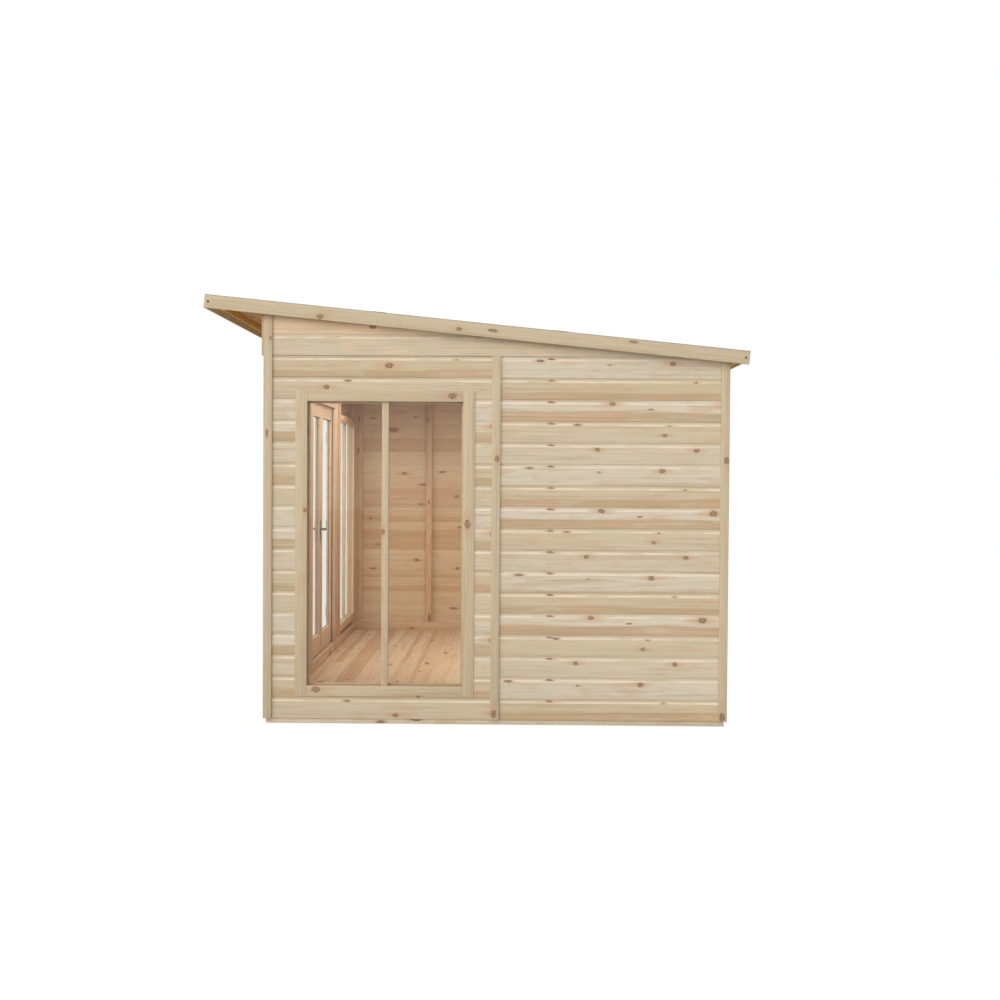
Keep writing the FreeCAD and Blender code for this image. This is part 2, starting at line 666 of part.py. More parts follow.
# Above the wall panels: gable boards and their frames at the ends, and the header along the front.
gable_run = (f"-{HALF_DEPTH} + fit_gap", f"{HALF_DEPTH} - fit_gap")
gable_stud_starts = (
    f"-{HALF_DEPTH} + fit_gap",
    "-end_panel / 2 - stud_width / 2",
    "-stud_width / 2",
    "end_panel / 2 - stud_width / 2",
)
gable_boards = []
gable_rafters = []
upper_studs = []
for side in (1, -1):
    boards = flip((HALF_LENGTH, CLAD_HALF_LENGTH), side)
    frame = flip((ROOM_HALF_LENGTH, HALF_LENGTH), side)
    gable_boards.append(plumb_ended(boards, gable_run, level("wall_top + fit_gap"), below_deck("0")))
    whole = plumb_ended(frame, gable_run, below_deck("rafter_depth"), below_deck("0"))
    gable_rafters.append(cut(whole, block(frame, floor_y, ("0", "wall_top"))))
    for start in gable_stud_starts:
        run = (start, f"{start} + stud_width")
        upper_studs.append(plumb_ended(frame, run, level("wall_top"), below_deck("rafter_depth")))
header_y = (f"-{HALF_DEPTH}", f"-{ROOM_HALF_DEPTH}")
header_x = (f"-{ROOM_HALF_LENGTH} + fit_gap", f"{ROOM_HALF_LENGTH} - fit_gap")
rafter_runs = [
    around(f"({index - RAFTER_COUNT // 2} * long_panel / 2)", "stud_width") for index in range(RAFTER_COUNT)
]
for run in rafter_runs:
    upper_studs.append(plumb_ended(run, header_y, level("wall_top"), below_deck("stud_width")))
subpart("gable_boards", gable_boards)
subpart("upper_studs", upper_studs)
subpart("header_rail", [plumb_ended(header_x, header_y, below_deck("stud_width"), below_deck("0"))])
subpart("header_board", [
    on_wall("front", (f"-{CLAD_HALF_LENGTH}", CLAD_HALF_LENGTH), STRIP,
            ("wall_top", deck_underside(f"-{CLAD_HALF_DEPTH}"))),
])
subpart("rafters", gable_rafters + [
    plumb_ended(run, (f"-{ROOM_HALF_DEPTH}", ROOM_HALF_DEPTH), below_deck("rafter_depth"), below_deck("0"))
    for run in rafter_runs
])
subpart("rear_roof_rail", [
    plumb_ended(header_x, (ROOM_HALF_DEPTH, HALF_DEPTH), level("wall_top"), below_deck("0")),
])

# Cover strips.
corners = []
for side in (-1, 1):
    strip_x = flip((CLAD_HALF_LENGTH, f"{CLAD_HALF_LENGTH} + strip_thickness"), side)
    for front_or_back in (-1, 1):
        strip_y = flip((f"{CLAD_HALF_DEPTH} - strip_width", CLAD_HALF_DEPTH), front_or_back)
        corners.append(plumb_ended(strip_x, strip_y, level("clad_bottom"), below_deck("0")))
subpart("corner_strips", corners)
strips = [
    on_wall(end, around("0", "strip_width"), STRIP, ("clad_bottom", "wall_top"))
    for end in ("window_end", "plain_end")
]
strip_tops = {
    "front": "wall_top - fit_gap",
    "back": deck_underside(f"({CLAD_HALF_DEPTH} + strip_thickness)"),
}
for wall, strip_top in strip_tops.items():
    for side in (-1, 1):
        along = around(f"{side} * {DOOR_PANEL_EDGE}", "strip_width")
        strips.append(on_wall(wall, along, STRIP, ("clad_bottom", strip_top)))
subpart("joint_strips", strips)

# Windows.
for name, (wall, panel) in WINDOWS.items():
    subpart(f"{name}_window_frame", window_frame(wall, panel))
subpart("window_glass", [piece for wall, panel in WINDOWS.values() for piece in window_glass(wall, panel)])
subpart("window_beads", [piece for wall, panel in WINDOWS.values() for piece in window_beads(wall, panel)])

# Roof.
deck_x = (f"-{DECK_HALF_LENGTH}", DECK_HALF_LENGTH)
roof_x = (f"-{ROOF_HALF_LENGTH}", ROOF_HALF_LENGTH)
roof_run = ("0", ROOF_RUN)
deck_run = ("bargeboard_thickness", f"{ROOF_RUN} - bargeboard_thickness")
board_depth = (DECK_TOP, f"{DECK_TOP} + bargeboard_height")
batten_depth = (DECK_BOTTOM, f"{DECK_BOTTOM} + batten")
subpart("roof_deck", [on_roof(deck_x, deck_run, (DECK_TOP, DECK_BOTTOM))])
subpart("roof_felt", [on_roof(roof_x, roof_run, ("0", DECK_TOP))])
subpart("bargeboards", [
    on_roof(flip((DECK_HALF_LENGTH, ROOF_HALF_LENGTH), side), roof_run, board_depth) for side in (-1, 1)
])
subpart("fascias", [
    on_roof(deck_x, ("0", deck_run[0]), board_depth),
    on_roof(deck_x, (deck_run[1], ROOF_RUN), (DECK_TOP, f"{DECK_TOP} + rear_fascia_height")),
])
front_batten = (deck_run[0], f"{deck_run[0]} + batten")
rear_batten = (f"{deck_run[1]} - batten", deck_run[1])
side_run = (f"{front_batten[1]} + fit_gap", f"{rear_batten[0]} - fit_gap")
subpart("roof_battens", [on_roof(deck_x, run, batten_depth) for run in (front_batten, rear_batten)] + [
    on_roof(flip((f"{DECK_HALF_LENGTH} - batten", DECK_HALF_LENGTH), side), side_run, batten_depth)
    for side in (-1, 1)
])

# Door leaves.
glass_low = f"({LEAF_BOTTOM} + leaf_bottom_rail)"
glass_high = f"({LEAF_TOP} - leaf_top_rail)"
rail_run = (
    f"{LEAF_MEETING_EDGE} + meeting_stile + shoulder_gap",
    f"{LEAF_HINGE_EDGE} - hinge_stile - shoulder_gap",
)
rebate_run = (
    f"{LEAF_MEETING_EDGE} + meeting_stile - rebate_width + shoulder_gap",
    f"{LEAF_HINGE_EDGE} - hinge_stile + rebate_width - shoulder_gap",
)
pane_run = (f"{rebate_run[0]} + pane_edge_gap", f"{rebate_run[1]} - pane_edge_gap")
pane_up = (f"{glass_low} - rebate_width + pane_edge_gap", f"{glass_high} + rebate_width - pane_edge_gap")
pane_out = (f"{CLAD_OUT} - rebate_lip - pane", f"{CLAD_OUT} - rebate_lip")
post_hinges = []
for side, name in ((-1, "left"), (1, "right")):
    subpart(f"{name}_door_frame", door_members(side, rail_run, glass_low, glass_high))
    subpart(f"{name}_door_glass", [on_wall("front", flip(pane_run, side), pane_out, pane_up)])
    subpart(f"{name}_door_beads", door_beads(side, rebate_run, glass_low, glass_high))
    subpart(f"{name}_door_hinges", [hinge(side, height, True) for height in HINGE_HEIGHTS])
    post_hinges += [hinge(side, height, False) for height in HINGE_HEIGHTS]
subpart("post_hinges", post_hinges)

# Lock plates on both faces of the right leaf, and the lever that turns in them.
subpart("lock_plates", [
    lock_plate("OuterPlate", CLAD_OUT),
    lock_plate("InnerPlate", f"({LEAF_IN} - lock_plate_thickness)"),
])
spindle_start = (LEVER_X, f"-({ROOM_HALF_DEPTH} + {CLAD_OUT} + lock_plate_thickness)", LEVER_Z)
subpart("door_lever", [fused([
    round_bar("spindle_radius", spindle_start, "y", "leaf_thickness + 2 * lock_plate_thickness"),
    lever_arm("OuterArm", CLAD_OUT, 0),
    lever_arm("InnerArm", LEAF_IN, 180),
])])

doc.recompute()

for item in doc.Objects:
    if "Invalid" in item.State or "Error" in item.State:
        raise RuntimeError(f"{item.Label} failed: {item.State}")
for item in subparts:
    if item.Shape.isNull() or not item.Shape.isValid():
        raise RuntimeError(f"{item.Label} has no valid shape")

os.makedirs("parts", exist_ok=True)
for item in subparts:
    item.Shape.exportStep(f"parts/{item.Label}.step")
    print(f"{item.Label}: {len(item.Shape.Solids)} solids, {item.Shape.BoundBox}")
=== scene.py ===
"""Looks of a timber summerhouse with a single-pitch roof, glazed double doors and fixed windows.

Metres, +Z up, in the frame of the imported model: +X is the end wall that has a window, -Y the
front with the doors. Boards, felt, screws and finishes are made here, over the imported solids.
"""

import logging
import math
import random
from collections.abc import Callable, Iterable, Sequence
from dataclasses import dataclass, field, replace
from enum import Enum

import bpy
import numpy as np
from mathutils import Matrix, Vector


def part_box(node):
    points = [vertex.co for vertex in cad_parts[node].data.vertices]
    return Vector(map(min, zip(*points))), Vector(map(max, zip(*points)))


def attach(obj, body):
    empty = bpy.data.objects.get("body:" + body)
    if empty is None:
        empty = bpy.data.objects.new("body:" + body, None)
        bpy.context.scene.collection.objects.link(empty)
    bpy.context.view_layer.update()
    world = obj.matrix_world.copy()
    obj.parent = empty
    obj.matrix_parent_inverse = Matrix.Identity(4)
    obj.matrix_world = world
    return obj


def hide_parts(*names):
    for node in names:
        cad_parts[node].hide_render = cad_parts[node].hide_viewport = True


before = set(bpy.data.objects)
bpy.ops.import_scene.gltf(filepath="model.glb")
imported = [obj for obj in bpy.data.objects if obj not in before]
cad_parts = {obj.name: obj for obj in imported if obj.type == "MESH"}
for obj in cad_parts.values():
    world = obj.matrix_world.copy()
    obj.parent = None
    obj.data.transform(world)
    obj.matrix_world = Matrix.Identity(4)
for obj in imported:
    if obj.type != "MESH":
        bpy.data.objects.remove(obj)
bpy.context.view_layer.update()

log = logging.getLogger("summerhouse")
Tree = bpy.types.NodeTree
Socket = bpy.types.NodeSocket
Material = bpy.types.Material
Piece = bpy.types.Object

MM = 0.001
FIT = 0.3 * MM


class Axis(Enum):
    """A direction that timber runs in."""

    X = 0
    Y = 1
    Z = 2


class Facing(Enum):
    """The way a wall's outer face looks, as the turn about +Z from the front's -Y."""

    FRONT = 0.0
    WINDOW_END = 90.0
    BACK = 180.0
    PLAIN_END = 270.0

    @property
    def normal(self) -> Vector:
        """The outward direction."""
        angle = math.radians(self.value)
        return Vector((round(math.sin(angle)), -round(math.cos(angle)), 0))

    @property
    def along(self) -> Axis:
        """The direction that the wall's boards run in."""
        return Axis.X if self in (Facing.FRONT, Facing.BACK) else Axis.Y


class Slot(Enum):
    """The record's material slots, one listed for each kind of piece made here."""

    CLADDING = "cladding_boards"
    COVER = "cover_timber"
    JOINERY = "joinery_timber"
    FRAME = "frame_timber"
    FLOOR = "floor_boards"
    BEARER = "bearer_timber"
    ROOF = "roof_boards"
    FELT = "roofing_felt"
    HANDLE = "handle_metal"
    HINGE = "hinge_steel"


class Body(Enum):
    """The bodies that pieces ride on."""

    ROOT = "root"
    LEFT_DOOR = "left_door"
    RIGHT_DOOR = "right_door"
    LEVER = "lever"


class Pattern(Enum):
    """What shows in a planed board, from broad to fine."""

    DRIFT = "drift"
    PATCHES = "patches"
    STREAKS = "streaks"
    LINES = "lines"
    RINGS = "rings"
    FIBRES = "fibres"


class LampKind(Enum):
    """The lamps that light the studio."""

    SUN = "SUN"
    SOFTBOX = "AREA"


@dataclass(frozen=True)
class Box:
    """A squared stretch of space between two corners."""

    low: Vector
    high: Vector

    @classmethod
    def of_node(cls, node: str) -> "Box":
        """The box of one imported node."""
        return cls(*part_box(node))

    @property
    def centre(self) -> Vector:
        """The middle of the box."""
        return (self.low + self.high) / 2

    @property
    def size(self) -> Vector:
        """The box's three lengths."""
        return self.high - self.low

    def between(self, axis: Axis, low: float, high: float) -> "Box":
        """The box with other limits along one axis.

        Args:
            axis: The axis whose limits change.
            low: The new lower limit.
            high: The new upper limit.

        Returns:
            The changed box.
        """
        first, last = self.low.copy(), self.high.copy()
        first[axis.value] = low
        last[axis.value] = high
        return Box(first, last)

    def grown(self, by: float) -> "Box":
        """The box with every side moved outwards."""
        return Box(self.low - Vector((by, by, by)), self.high + Vector((by, by, by)))


@dataclass(frozen=True)
class Knot:
    """A knot in a timber face: its place along the timber and across it, its radius and its kind.

    A spike is a knot that the saw took lengthwise, which shows as a short dash.
    """

    along: float
    across: float
    radius: float
    spike: bool = False


@dataclass(frozen=True)
class BoardLook:
    """How one cladding board differs from the next.

    heart is how high the darker heartwood reaches from the lower edge, pale is how light the
    sapwood is from 0 to 1, and knots are given from the panel's end and the board's lower edge.
    """

    heart: float
    pale: float
    knots: tuple[Knot, ...] = ()

    def moved(self, by: float, *more: Knot) -> "BoardLook":
        """The look of a board cut further along the same tree.

        Args:
            by: How far its knots lie from this board's.
            *more: Knots that the board has besides.

        Returns:
            The new look.
        """
        return BoardLook(self.heart, self.pale,
                         tuple(replace(knot, along=knot.along + by) for knot in self.knots) + more)


# The end wall's boards repeat these five looks downwards, each time a little further along.
BOARD_LOOKS = (
    BoardLook(0.050, 1.00, (
        Knot(0.606, 0.092, 0.010), Knot(1.190, 0.082, 0.013), Knot(0.807, 0.063, 0.004, True),
    )),
    BoardLook(0.000, 0.35, (
        Knot(0.424, 0.093, 0.005, True), Knot(0.880, 0.040, 0.008), Knot(0.905, 0.089, 0.004),
    )),
    BoardLook(0.000, 0.60, (Knot(0.529, 0.076, 0.009), Knot(1.048, 0.074, 0.009))),
    BoardLook(0.000, 0.90, (
        Knot(0.176, 0.090, 0.006, True), Knot(0.868, 0.078, 0.010), Knot(0.539, 0.070, 0.004),
    )),
    BoardLook(0.040, 0.15, (Knot(0.990, 0.092, 0.004),)),
)
COURSES = 17
FIRST_LOOK_COURSE = 14
LOOK_STEP = 0.052
TOP_MARK = Knot(0.288, 0.099, 0.0050, True)
# Over and under the window the same looks come in another order, cut elsewhere along the tree.
WINDOW_PANEL_SHIFT = -1.2
WINDOW_PANEL_STRIDE = 3
# The gables' upper courses are all heartwood, in the gable finish's colours that are painted paler to
# lighten the shade under the bargeboards.
GABLE_LOOKS = (BoardLook(0.0, 0.5), BoardLook(0.14, 1.0), BoardLook(0.14, 1.0))

# Knots that stand out on the end wall's other pieces: metres along +Y and up.
END_WALL_KNOTS = (
    Knot(0.005, 1.398, 0.011), Knot(-0.004, 0.061, 0.012), Knot(1.202, 1.396, 0.011),
    Knot(1.192, 0.053, 0.013), Knot(-0.939, 0.181, 0.014), Knot(-0.228, 1.725, 0.013),
    Knot(-0.147, 1.054, 0.014), Knot(-0.999, 1.123, 0.007), Knot(-0.890, 1.768, 0.010),
    Knot(-0.371, 1.768, 0.009), Knot(-0.776, 1.752, 0.006), Knot(-0.562, 1.881, 0.013),
    Knot(-0.648, 2.085, 0.012), Knot(-0.400, 0.146, 0.006), Knot(-0.519, 0.049, 0.010),
    Knot(-0.358, 0.062, 0.007), Knot(-0.590, 1.010, 0.008), Knot(-0.915, 2.128, 0.011),
    Knot(-0.194, 2.067, 0.009), Knot(-0.018, 2.060, 0.007, True), Knot(0.708, 2.004, 0.007, True),
)

# A board's mesh has room for two round knots and two spikes; an unused one lies far off.
ROUND_KNOTS = ("knot_a", "knot_b")
SPIKE_KNOTS = ("knot_c", "knot_d")
KNOT_SLOTS = ROUND_KNOTS + SPIKE_KNOTS
NO_KNOT = (-9.0, -9.0, 0.001)
FAR = 99.0
# How much of a step along the grain and across it counts towards a knot's radius.
ROUND_REACH = (0.68, 1.0, 0.0)
SPIKE_REACH = (0.32, 1.0, 0.0)
HALO_REACH = (0.22, 0.9, 0.0)


def linear(colour: str) -> tuple[float, float, float, float]:
    """Turn an sRGB hex colour to linear red, green, blue and alpha.

    Args:
        colour: Six hex digits after a hash.

    Returns:
        The colour as a node socket takes it.
    """
    parts = [int(colour[place:place + 2], 16) / 255 for place in (1, 3, 5)]
    return (*(c / 12.92 if c <= 0.04045 else ((c + 0.055) / 1.055) ** 2.4 for c in parts), 1.0)


def add_node(tree: Tree, kind: str, inputs: dict | None = None, out: int | str = 0,
             **settings: object) -> Socket | None:
    """Add a shader node with its settings and links.

    Args:
        tree: The node tree to add to.
        kind: The node's type after the word ShaderNode.
        inputs: What each input takes, by name or place: a socket or a plain value.
        out: The output that is wanted, by name or place.
        **settings: Properties of the node.

    Returns:
        The wanted output, or None for a node that has none.
    """
    node = tree.nodes.new(f"ShaderNode{kind}")
    for name, value in settings.items():
        setattr(node, name, value)
    for key, value in (inputs or {}).items():
        if isinstance(value, Socket):
            tree.links.new(value, node.inputs[key])
        else:
            node.inputs[key].default_value = value
    return node.outputs[out] if len(node.outputs) else None


def new_material(name: str) -> tuple[Material, Tree]:
    """Make an empty material.

    Args:
        name: What the finish is.

    Returns:
        The material and its node tree.
    """
    material = bpy.data.materials.new(name)
    material.use_nodes = True
    material.node_tree.nodes.clear()
    return material, material.node_tree


@dataclass(frozen=True)
class Noise:
    """Noise drawn out along the grain: features a metre along it and across it, and octaves."""

    along: float
    across: float
    detail: float


# The patterns that every timber here has alike. Real fibres are too fine to show, so they are
# drawn coarser, 600 to a metre.
NOISES = {
    Pattern.DRIFT: Noise(1.6, 9.0, 2.0),
    Pattern.PATCHES: Noise(7.0, 24.0, 2.0),
    Pattern.LINES: Noise(3.0, 140.0, 3.0),
    Pattern.FIBRES: Noise(14.0, 600.0, 1.0),
}


@dataclass(frozen=True)
class Wash:
    """A colour laid over a board where a pattern is strong.

    limits are the pattern's values where the colour starts and where it covers most, and
    share is how much it covers there.
    """

    colour: str
    pattern: Pattern
    limits: tuple[float, float]
    share: float


@dataclass(frozen=True)
class Timber:
    """Planed softwood, whose grain follows each board's own length.

    Each board's mesh says where its grain runs, how much heartwood it has and where its
    knots are. Sawn softwood shows soft streaks, thin latewood lines that flow round the
    knots, and a dull surface whose gloss varies with its fibres.
    """

    name: str
    sap: str
    pale: str
    heart: str
    warm: str
    streak: str
    cool: str
    knot: str = "#9d8165"
    bark: str = "#604a38"
    ring_mm: float = 7.0
    streak_mm: float = 20.0
    streak_share: float = 0.50
    ring_share: float = 0.22
    ring_wander_mm: float = 75.0
    ring_waver_mm: float = 5.0
    heart_wave_mm: float = 52.0
    heart_edge_mm: float = 5.0
    roughness: float = 0.62
    relief_mm: float = 0.25
    # A painted highlight where each board's cove meets its face: its place across the board, colour,
    # strength, and the widths of its core and fade.
    painted_highlight_mm: float = 0.0
    painted_highlight: str = "#f3e2ca"
    painted_highlight_share: float = 0.78
    painted_highlight_core_mm: float = 2.0
    painted_highlight_fade_mm: float = 9.0
    knot_pull: float = 0.85
    knot_rings: float = 17.0

    def material(self) -> Material:
        """Build the finish.

        Returns:
            The node material.
        """
        material, tree = new_material(self.name)
        grain = add_node(tree, "Attribute", out="Vector", attribute_name="grain")
        board = add_node(tree, "Attribute", out="Vector", attribute_name="board")
        along, across, deep = add_node(tree, "SeparateXYZ", {0: grain}).node.outputs
        seed, heart, pallor = add_node(tree, "SeparateXYZ", {0: board}).node.outputs
        bent, distance, halo = self._round_knots(tree, grain, across)
        lines = add_node(tree, "CombineXYZ", {0: along, 1: bent, 2: deep})
        noises = {Pattern.STREAKS: Noise(0.9, 1000 / self.streak_mm, 3.0), **NOISES}
        masks = {pattern: self._noise(tree, lines, seed, noise) for pattern, noise in noises.items()}
        rings = self._rings(tree, bent, masks[Pattern.DRIFT], masks[Pattern.LINES])
        masks[Pattern.RINGS] = rings
        colour = self._ground(tree, across, heart, pallor, masks[Pattern.STREAKS], masks[Pattern.DRIFT])
        for wash in self._washes():
            colour = self._blend(tree, colour, wash.colour, masks[wash.pattern], wash.limits, wash.share)
        # Painted highlight where the cove meets the face and would catch the light.
        if self.painted_highlight_mm:
            colour = self._painted_highlight(tree, colour, across, masks[Pattern.PATCHES])
        colour = self._knots(tree, colour, distance, halo, masks[Pattern.LINES])
        fibres = masks[Pattern.FIBRES]
        height = add_node(tree, "Math", {0: rings, 1: fibres}, operation="ADD")
        bump = add_node(tree, "Bump", {
            "Strength": 0.35, "Distance": self.relief_mm * MM, "Height": height,
        })
        rough = add_node(tree, "MapRange", {
            0: fibres, 1: 0.2, 2: 0.8, 3: self.roughness + 0.08, 4: self.roughness - 0.06,
        })
        shader = add_node(tree, "BsdfPrincipled", {
            "Base Color": colour, "Roughness": rough, "Normal": bump, "IOR": 1.5,
            "Specular IOR Level": 0.35,
        })
        add_node(tree, "OutputMaterial", {"Surface": shader})
        return material

    def _washes(self) -> tuple[Wash, ...]:
        """The colours laid over the bare wood, in their order."""
        return (
            Wash(self.warm, Pattern.PATCHES, (0.50, 0.72), 0.50),
            Wash(self.cool, Pattern.PATCHES, (0.48, 0.28), 0.60),
            Wash(self.streak, Pattern.STREAKS, (0.50, 0.68), self.streak_share),
            Wash(self.pale, Pattern.LINES, (0.52, 0.70), 0.32),
            Wash(self.streak, Pattern.LINES, (0.48, 0.32), 0.30),
            Wash(self.streak, Pattern.RINGS, (0.35, 1.0), self.ring_share),
            Wash(self.streak, Pattern.FIBRES, (0.50, 0.75), 0.16),
        )

    @staticmethod
    def _blend(tree: Tree, under: Socket, over: str, mask: Socket, limits: tuple[float, float],
               share: float) -> Socket:
        """Lay a colour over another where a mask is strong.

        Args:
            tree: The material's nodes.
            under: The colour below.
            over: The colour laid over it.
            mask: Where it is laid.
            limits: The mask's values where the colour starts and where it covers most.
            share: How much it covers there.

        Returns:
            The mixed colour.
        """
        amount = add_node(tree, "MapRange", {0: mask, 1: limits[0], 2: limits[1], 3: 0.0, 4: share},
                          interpolation_type="SMOOTHSTEP")
        return add_node(tree, "Mix", {0: amount, 6: under, 7: linear(over)}, 2, data_type="RGBA")

    @staticmethod
    def _noise(tree: Tree, lines: Socket, seed: Socket, noise: Noise) -> Socket:
        """Add noise that is different on each board.

        Args:
            tree: The material's nodes.
            lines: The grain's own coordinates.
            seed: The board's number.
            noise: How it is drawn out.

        Returns:
            The noise, mostly from 0.3 to 0.7.
        """
        stretch = (noise.along, noise.across, noise.across)
        stretched = add_node(tree, "VectorMath", {0: lines, 1: stretch}, operation="MULTIPLY")
        return add_node(tree, "TexNoise", {
            "Vector": stretched, "W": seed, "Scale": 1.0, "Detail": noise.detail,
        }, noise_dimensions="4D")

    @staticmethod
    def _swing(tree: Tree, noise: Socket) -> Socket:
        """Spread noise from about 0.5 to both sides of nought."""
        return add_node(tree, "Math", {0: noise, 1: 2.2, 2: -1.1}, operation="MULTIPLY_ADD")

    def _round_knots(self, tree: Tree, grain: Socket, across: Socket) -> tuple[Socket, ...]:
        """Bend the grain's lines round the board's knots.

        Args:
            tree: The material's nodes.
            grain: The board's own coordinates.
            across: The place across the board.

        Returns:
            The bent place across the board, the distance to the nearest knot in its radii, and
            the same distance with more reach along the grain.
        """
        nearest: Socket | float = FAR
        halo: Socket | float = FAR
        bent = across
        for slot in KNOT_SLOTS:
            knot = add_node(tree, "Attribute", out="Vector", attribute_name=slot)
            radius = add_node(tree, "SeparateXYZ", {0: knot}, "Z")
            away = add_node(tree, "VectorMath", {0: grain, 1: knot}, operation="SUBTRACT")
            reach = SPIKE_REACH if slot in SPIKE_KNOTS else ROUND_REACH
            radii = self._radii(tree, away, radius, reach)
            nearest = add_node(tree, "Math", {0: nearest, 1: radii}, operation="MINIMUM")
            spread = self._radii(tree, away, radius, HALO_REACH)
            halo = add_node(tree, "Math", {0: halo, 1: spread}, operation="MINIMUM")
            fade = add_node(tree, "Math", {0: radii, 1: radii, 2: 1.0}, operation="MULTIPLY_ADD")
            offset = add_node(tree, "SeparateXYZ", {0: away}, "Y")
            pull = add_node(tree, "Math", {0: offset, 1: fade}, operation="DIVIDE")
            bent = add_node(tree, "Math", {0: pull, 1: -self.knot_pull, 2: bent}, operation="MULTIPLY_ADD")
        ragged = add_node(tree, "TexNoise", {"Vector": grain, "Scale": 170.0, "Detail": 2.0})
        distance = add_node(tree, "Math", {0: nearest, 1: self._swing(tree, ragged)}, operation="ADD")
        return bent, distance, halo

    @staticmethod
    def _radii(tree: Tree, away: Socket, radius: Socket, reach: tuple[float, ...]) -> Socket:
        """Measure the distance from a knot.

        Args:
            tree: The material's nodes.
            away: The way from the knot's middle.
            radius: The knot's radius.
            reach: How much of each direction counts.

        Returns:
            The distance in radii.
        """
        drawn = add_node(tree, "VectorMath", {0: away, 1: reach}, operation="MULTIPLY")
        length = add_node(tree, "VectorMath", {0: drawn}, "Value", operation="LENGTH")
        return add_node(tree, "Math", {0: length, 1: radius}, operation="DIVIDE")

    def _painted_highlight(self, tree: Tree, under: Socket, across: Socket, patches: Socket) -> Socket:
        """Paint a highlight on the lip where a board's cove comes out to its face and catches the light,
        stronger in some stretches.

        Args:
            tree: The material's nodes.
            under: The board's colour.
            across: The place across the board.
            patches: Noise that fades the painted highlight.

        Returns:
            The colour with the painted highlight.
        """
        off = add_node(tree, "Math", {0: across, 1: self.painted_highlight_mm * MM}, operation="SUBTRACT")
        away = add_node(tree, "Math", {0: off}, operation="ABSOLUTE")
        near = add_node(tree, "MapRange", {
            0: away, 1: self.painted_highlight_fade_mm * MM, 2: self.painted_highlight_core_mm * MM, 3: 0.0, 4: 1.0,
        })
        stretch = add_node(tree, "MapRange", {0: patches, 1: 0.40, 2: 0.60, 3: 0.45, 4: 1.0})
        mask = add_node(tree, "Math", {0: near, 1: stretch}, operation="MULTIPLY")
        return self._blend(tree, under, self.painted_highlight, mask, (0.0, 1.0), self.painted_highlight_share)

    def _knots(self, tree: Tree, under: Socket, distance: Socket, halo: Socket,
               broken: Socket) -> Socket:
        """Lay the knots over a board: a warm ground, a brown core with rings, and a broken rim.

        Args:
            tree: The material's nodes.
            under: The board's colour.
            distance: The distance to the nearest knot in its radii.
            halo: The same with more reach along the grain.
            broken: Noise that breaks the rim.

        Returns:
            The colour with the knots.
        """
        colour = self._blend(tree, under, self.warm, halo, (2.0, 0.5), 0.75)
        colour = self._blend(tree, colour, self.knot, distance, (1.15, 0.80), 0.85)
        turns = add_node(tree, "Math", {0: distance, 1: self.knot_rings}, operation="MULTIPLY")
        wave = add_node(tree, "Math", {0: turns}, operation="SINE")
        core = add_node(tree, "MapRange", {0: distance, 1: 1.0, 2: 0.7, 3: 0.0, 4: 1.0},
                        interpolation_type="SMOOTHSTEP")
        year = add_node(tree, "Math", {0: wave, 1: core}, operation="MULTIPLY")
        colour = self._blend(tree, colour, self.bark, year, (0.2, 1.0), 0.35)
        off = add_node(tree, "Math", {0: distance, 1: 0.95}, operation="SUBTRACT")
        away = add_node(tree, "Math", {0: off}, operation="ABSOLUTE")
        rim = add_node(tree, "MapRange", {0: away, 1: 0.26, 2: 0.04, 3: 0.0, 4: 1.0},
                       interpolation_type="SMOOTHSTEP")
        gaps = add_node(tree, "MapRange", {0: broken, 1: 0.36, 2: 0.56, 3: 0.15, 4: 1.0},
                        interpolation_type="SMOOTHSTEP")
        bark = add_node(tree, "Math", {0: rim, 1: gaps}, operation="MULTIPLY")
        return self._blend(tree, colour, self.bark, bark, (0.0, 1.0), 0.85)

    def _rings(self, tree: Tree, across: Socket, drift: Socket, narrow: Socket) -> Socket:
        """Latewood lines across the board, each growing dark slowly and ending sharply.

        Args:
            tree: The material's nodes.
            across: The bent place across the board.
            drift: Slow noise that spreads and closes the lines.
            narrow: Noise that wavers them.

        Returns:
            Thin lines from 0 to 1.
        """
        place = across
        for noise, reach in ((drift, self.ring_wander_mm), (narrow, self.ring_waver_mm)):
            place = add_node(tree, "Math", {0: noise, 1: reach * MM, 2: place}, operation="MULTIPLY_ADD")
        turns = add_node(tree, "Math", {0: place, 1: 1 / (self.ring_mm * MM)}, operation="MULTIPLY")
        year = add_node(tree, "Math", {0: turns}, operation="FRACT")
        return add_node(tree, "Math", {0: year, 1: 2.5}, operation="POWER")

